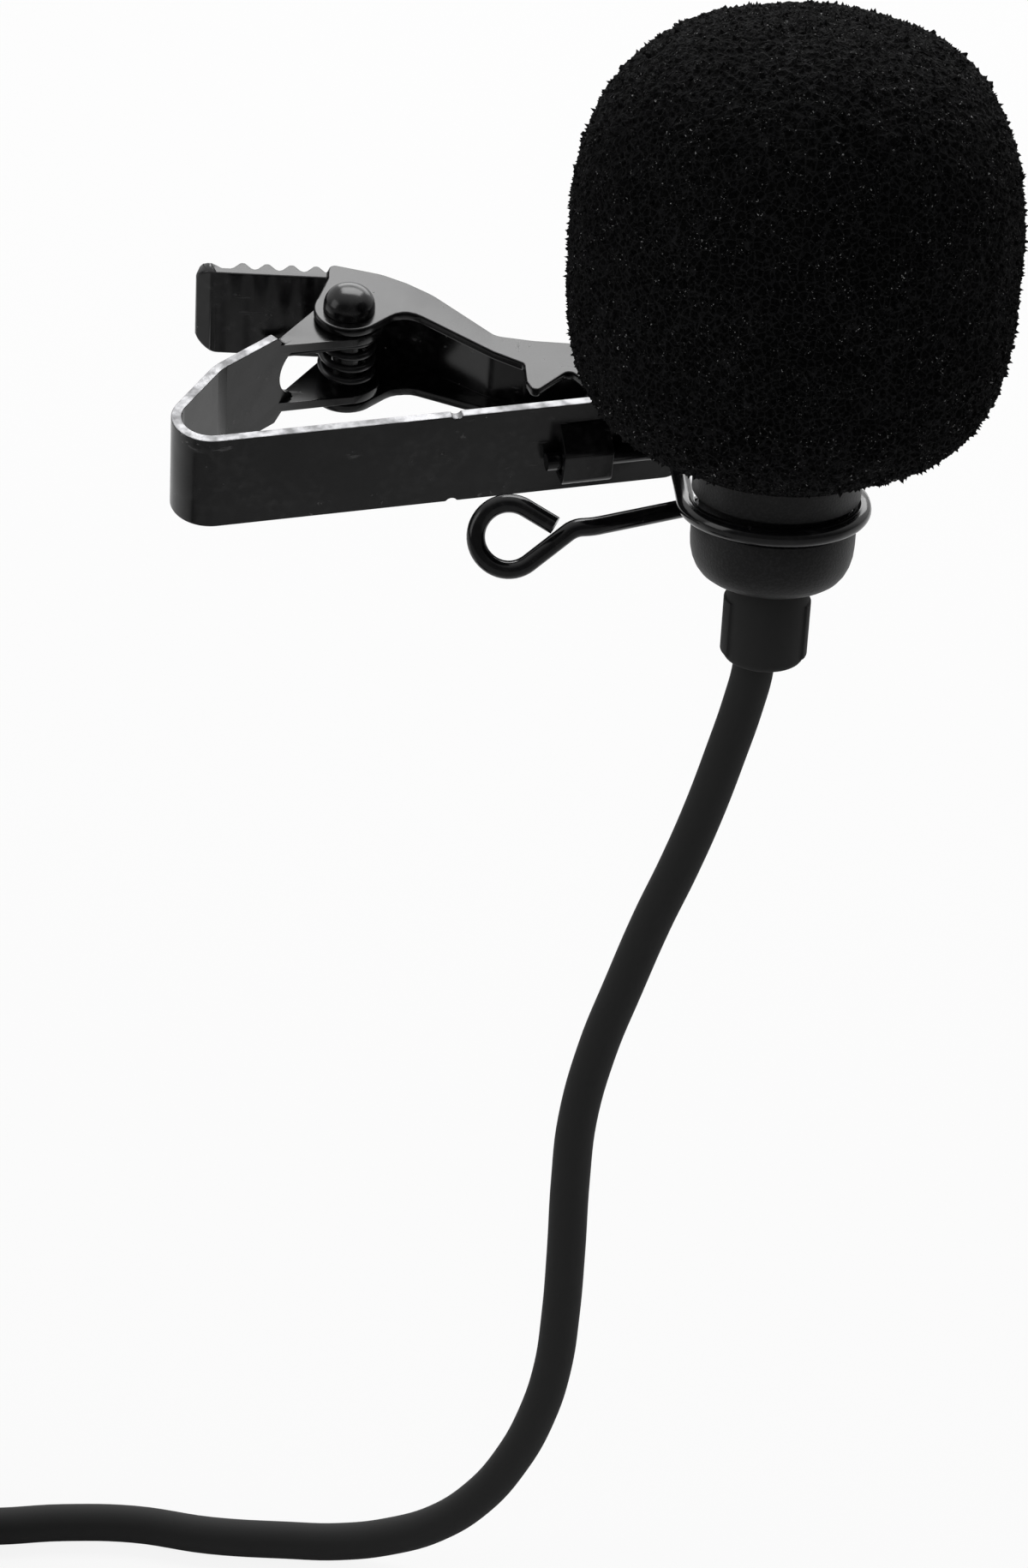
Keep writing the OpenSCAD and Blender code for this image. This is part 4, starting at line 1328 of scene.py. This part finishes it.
@dataclass
class JackPlug:
    """The plug's moulded relief and shell, and its contacts."""

    def build(self) -> list[object]:
        """Softens the plug's edges.

        Returns:
            The pieces and the nodes that the cord carries.
        """
        pieces: list[object] = []
        for node, name, finish, edge in (
            ("plug_relief", "jack_relief", RELIEF, 0.1),
            ("plug_shell", "jack_shell", SHELL, 0.08),
            ("plug_sleeve", "jack_sleeve", NICKEL, 0.05),
            ("plug_ring", "jack_ring", NICKEL, 0.05),
            ("plug_tip", "jack_tip", NICKEL, 0.05),
        ):
            piece = Bench.copy_node(node, name)
            Bench.round_edges(piece, edge)
            Bench.smooth(piece, 35)
            pieces.append(Bench.settle(piece, Body.MICROPHONE, [finish], node))
        Bench.dress_node("plug_insulators", INSULATOR)
        return [*pieces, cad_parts["plug_insulators"]]


# ---- Studio


@dataclass(frozen=True)
class Lamp:
    """A soft oblong lamp: its place and size in metres, and its power in watts."""

    name: str
    at: Triple
    size: tuple[float, float]
    watts: float

    def hang(self) -> None:
        """Hangs the lamp so that it faces the microphone."""
        light = bpy.data.lights.new(self.name, "AREA")
        light.shape = "RECTANGLE"
        light.size, light.size_y = self.size
        light.energy = self.watts
        lamp = Bench.put(self.name, light)
        at = Vector(self.at)
        lamp.matrix_world = Matrix.Translation(at) @ at.to_track_quat("Z", "Y").to_matrix().to_4x4()


@dataclass
class Studio:
    """Camera, pale floor and plain soft light."""

    film_height: float = 36.0
    focal: float = 4660 / 1830 * 36
    eye: Triple = (-18.970, -209.348, 89.229)
    right: Triple = (0.998957, 0.0, 0.045662)
    up: Triple = (-0.04058, 0.458486, 0.887775)
    back: Triple = (-0.020935, -0.888702, 0.458008)
    floor: float = -79.2
    floor_tone: Triple = (0.82, 0.82, 0.82)
    # Painted shade seen only in reflections: the floor's tone in front, from front_from to front_to
    # metres along Y
    mirrored_front_shade: Triple = (0.25, 0.25, 0.25)
    front_from: float = 0.03
    front_to: float = -0.08
    floor_glow: float = 0.88
    mirrored_glow: float = 0.1
    sky_light: float = 0.4
    lamps: tuple[Lamp, ...] = (
        Lamp("overhead", (0.04, 0.3, 0.5), (0.42, 0.26), 1.7),
        Lamp("behind", (0.12, 0.62, 0.32), (0.7, 0.3), 1.6),
        Lamp("left", (-0.55, -0.15, 0.25), (0.3, 0.4), 0.5),
    )

    def build(self) -> None:
        """Sets the camera, the floor, the world and the lamps."""
        self.set_camera()
        self.set_floor()
        self.set_world()
        for lamp in self.lamps:
            lamp.hang()
        bpy.context.scene.view_settings.view_transform = "Standard"

    def set_camera(self) -> None:
        """Places the camera by its own axes."""
        lens = bpy.data.cameras.new("camera")
        lens.sensor_fit = "VERTICAL"
        lens.sensor_height = self.film_height
        lens.lens = self.focal
        lens.clip_start = 0.01
        camera = Bench.put("camera", lens)
        axes = Matrix((self.right, self.up, self.back)).transposed().to_4x4()
        camera.matrix_world = Matrix.Translation(on_mic(self.eye)) @ axes
        bpy.context.scene.camera = camera

    def set_floor(self) -> None:
        """Lays a pale floor that reads white and still takes the shadow; in reflections its front is
        painted darker as painted shade.
        """
        bpy.ops.object.select_all(action="DESELECT")
        level = on_mic((0, 0, self.floor)).z
        bpy.ops.mesh.primitive_plane_add(size=6, location=(0, 0, level))
        floor = bpy.context.view_layer.objects.active
        floor.name = "floor"
        bpy.ops.object.transform_apply(location=True, rotation=True, scale=True)
        shader = Shader("pale_floor")
        tree = shader.tree
        glow = tree.nodes.new("ShaderNodeEmission")
        glow.inputs["Color"].default_value = (1, 1, 1, 1)
        seen, clear, mirrored = shader.rays()
        depth = shader.node("ShaderNodeSeparateXYZ", {}, {"Vector": shader.place}, "Y")
        # Painted shade seen only in reflections: the floor in front of the microphone is darker to
        # mirrored rays.
        front_shade_share = mirrored * depth.band(self.front_from, self.front_to)
        paint = shader.blend(front_shade_share, self.floor_tone, self.mirrored_front_shade)
        shader.dress(color=paint, roughness=0.9, specular=0.1)
        mix = tree.nodes.new("ShaderNodeMixShader")
        glowing = (seen + clear) * self.floor_glow + mirrored * self.mirrored_glow
        shader.feed(mix, {0: glowing})
        tree.links.new(shader.surface.outputs[0], mix.inputs[1])
        tree.links.new(glow.outputs[0], mix.inputs[2])
        output = next(n for n in tree.nodes if n.type == "OUTPUT_MATERIAL")
        tree.links.new(mix.outputs[0], output.inputs["Surface"])
        floor.data.materials.append(shader.material)

    def set_world(self) -> None:
        """Makes the surroundings white to the eye, and dim as light and in front as mirrored."""
        world = bpy.data.worlds.new("studio")
        world.use_nodes = True
        graph = Graph(world.node_tree)
        seen, clear, mirrored = graph.rays()
        way = graph.node("ShaderNodeTexCoord", {}, {}, "Generated")
        back = graph.node("ShaderNodeSeparateXYZ", {}, {"Vector": way}, "Y")
        room = (back + back.sibling("Z")).band(-0.2, 1.1) * 0.8 + 0.1
        lit = (1 - seen - clear - mirrored) * self.sky_light
        strength = seen + clear + mirrored * room + lit
        sky = graph.node("ShaderNodeBackground", {}, {"Strength": strength})
        output = graph.tree.nodes.new("ShaderNodeOutputWorld")
        graph.tree.links.new(sky.link, output.inputs["Surface"])
        bpy.context.scene.world = world


def main() -> None:
    """Builds the object piece by piece."""
    logging.basicConfig(level=logging.INFO, format="%(name)s: %(message)s")
    Studio().build()
    cord = Cord()
    cord_piece = cord.build()
    strap = Strap().build(cord)
    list(JackPlug().build())
    Windscreen().build()
    Housing().build()
    Clip().build()
    WireHolder().build()


if __name__ == "__main__":
    main()
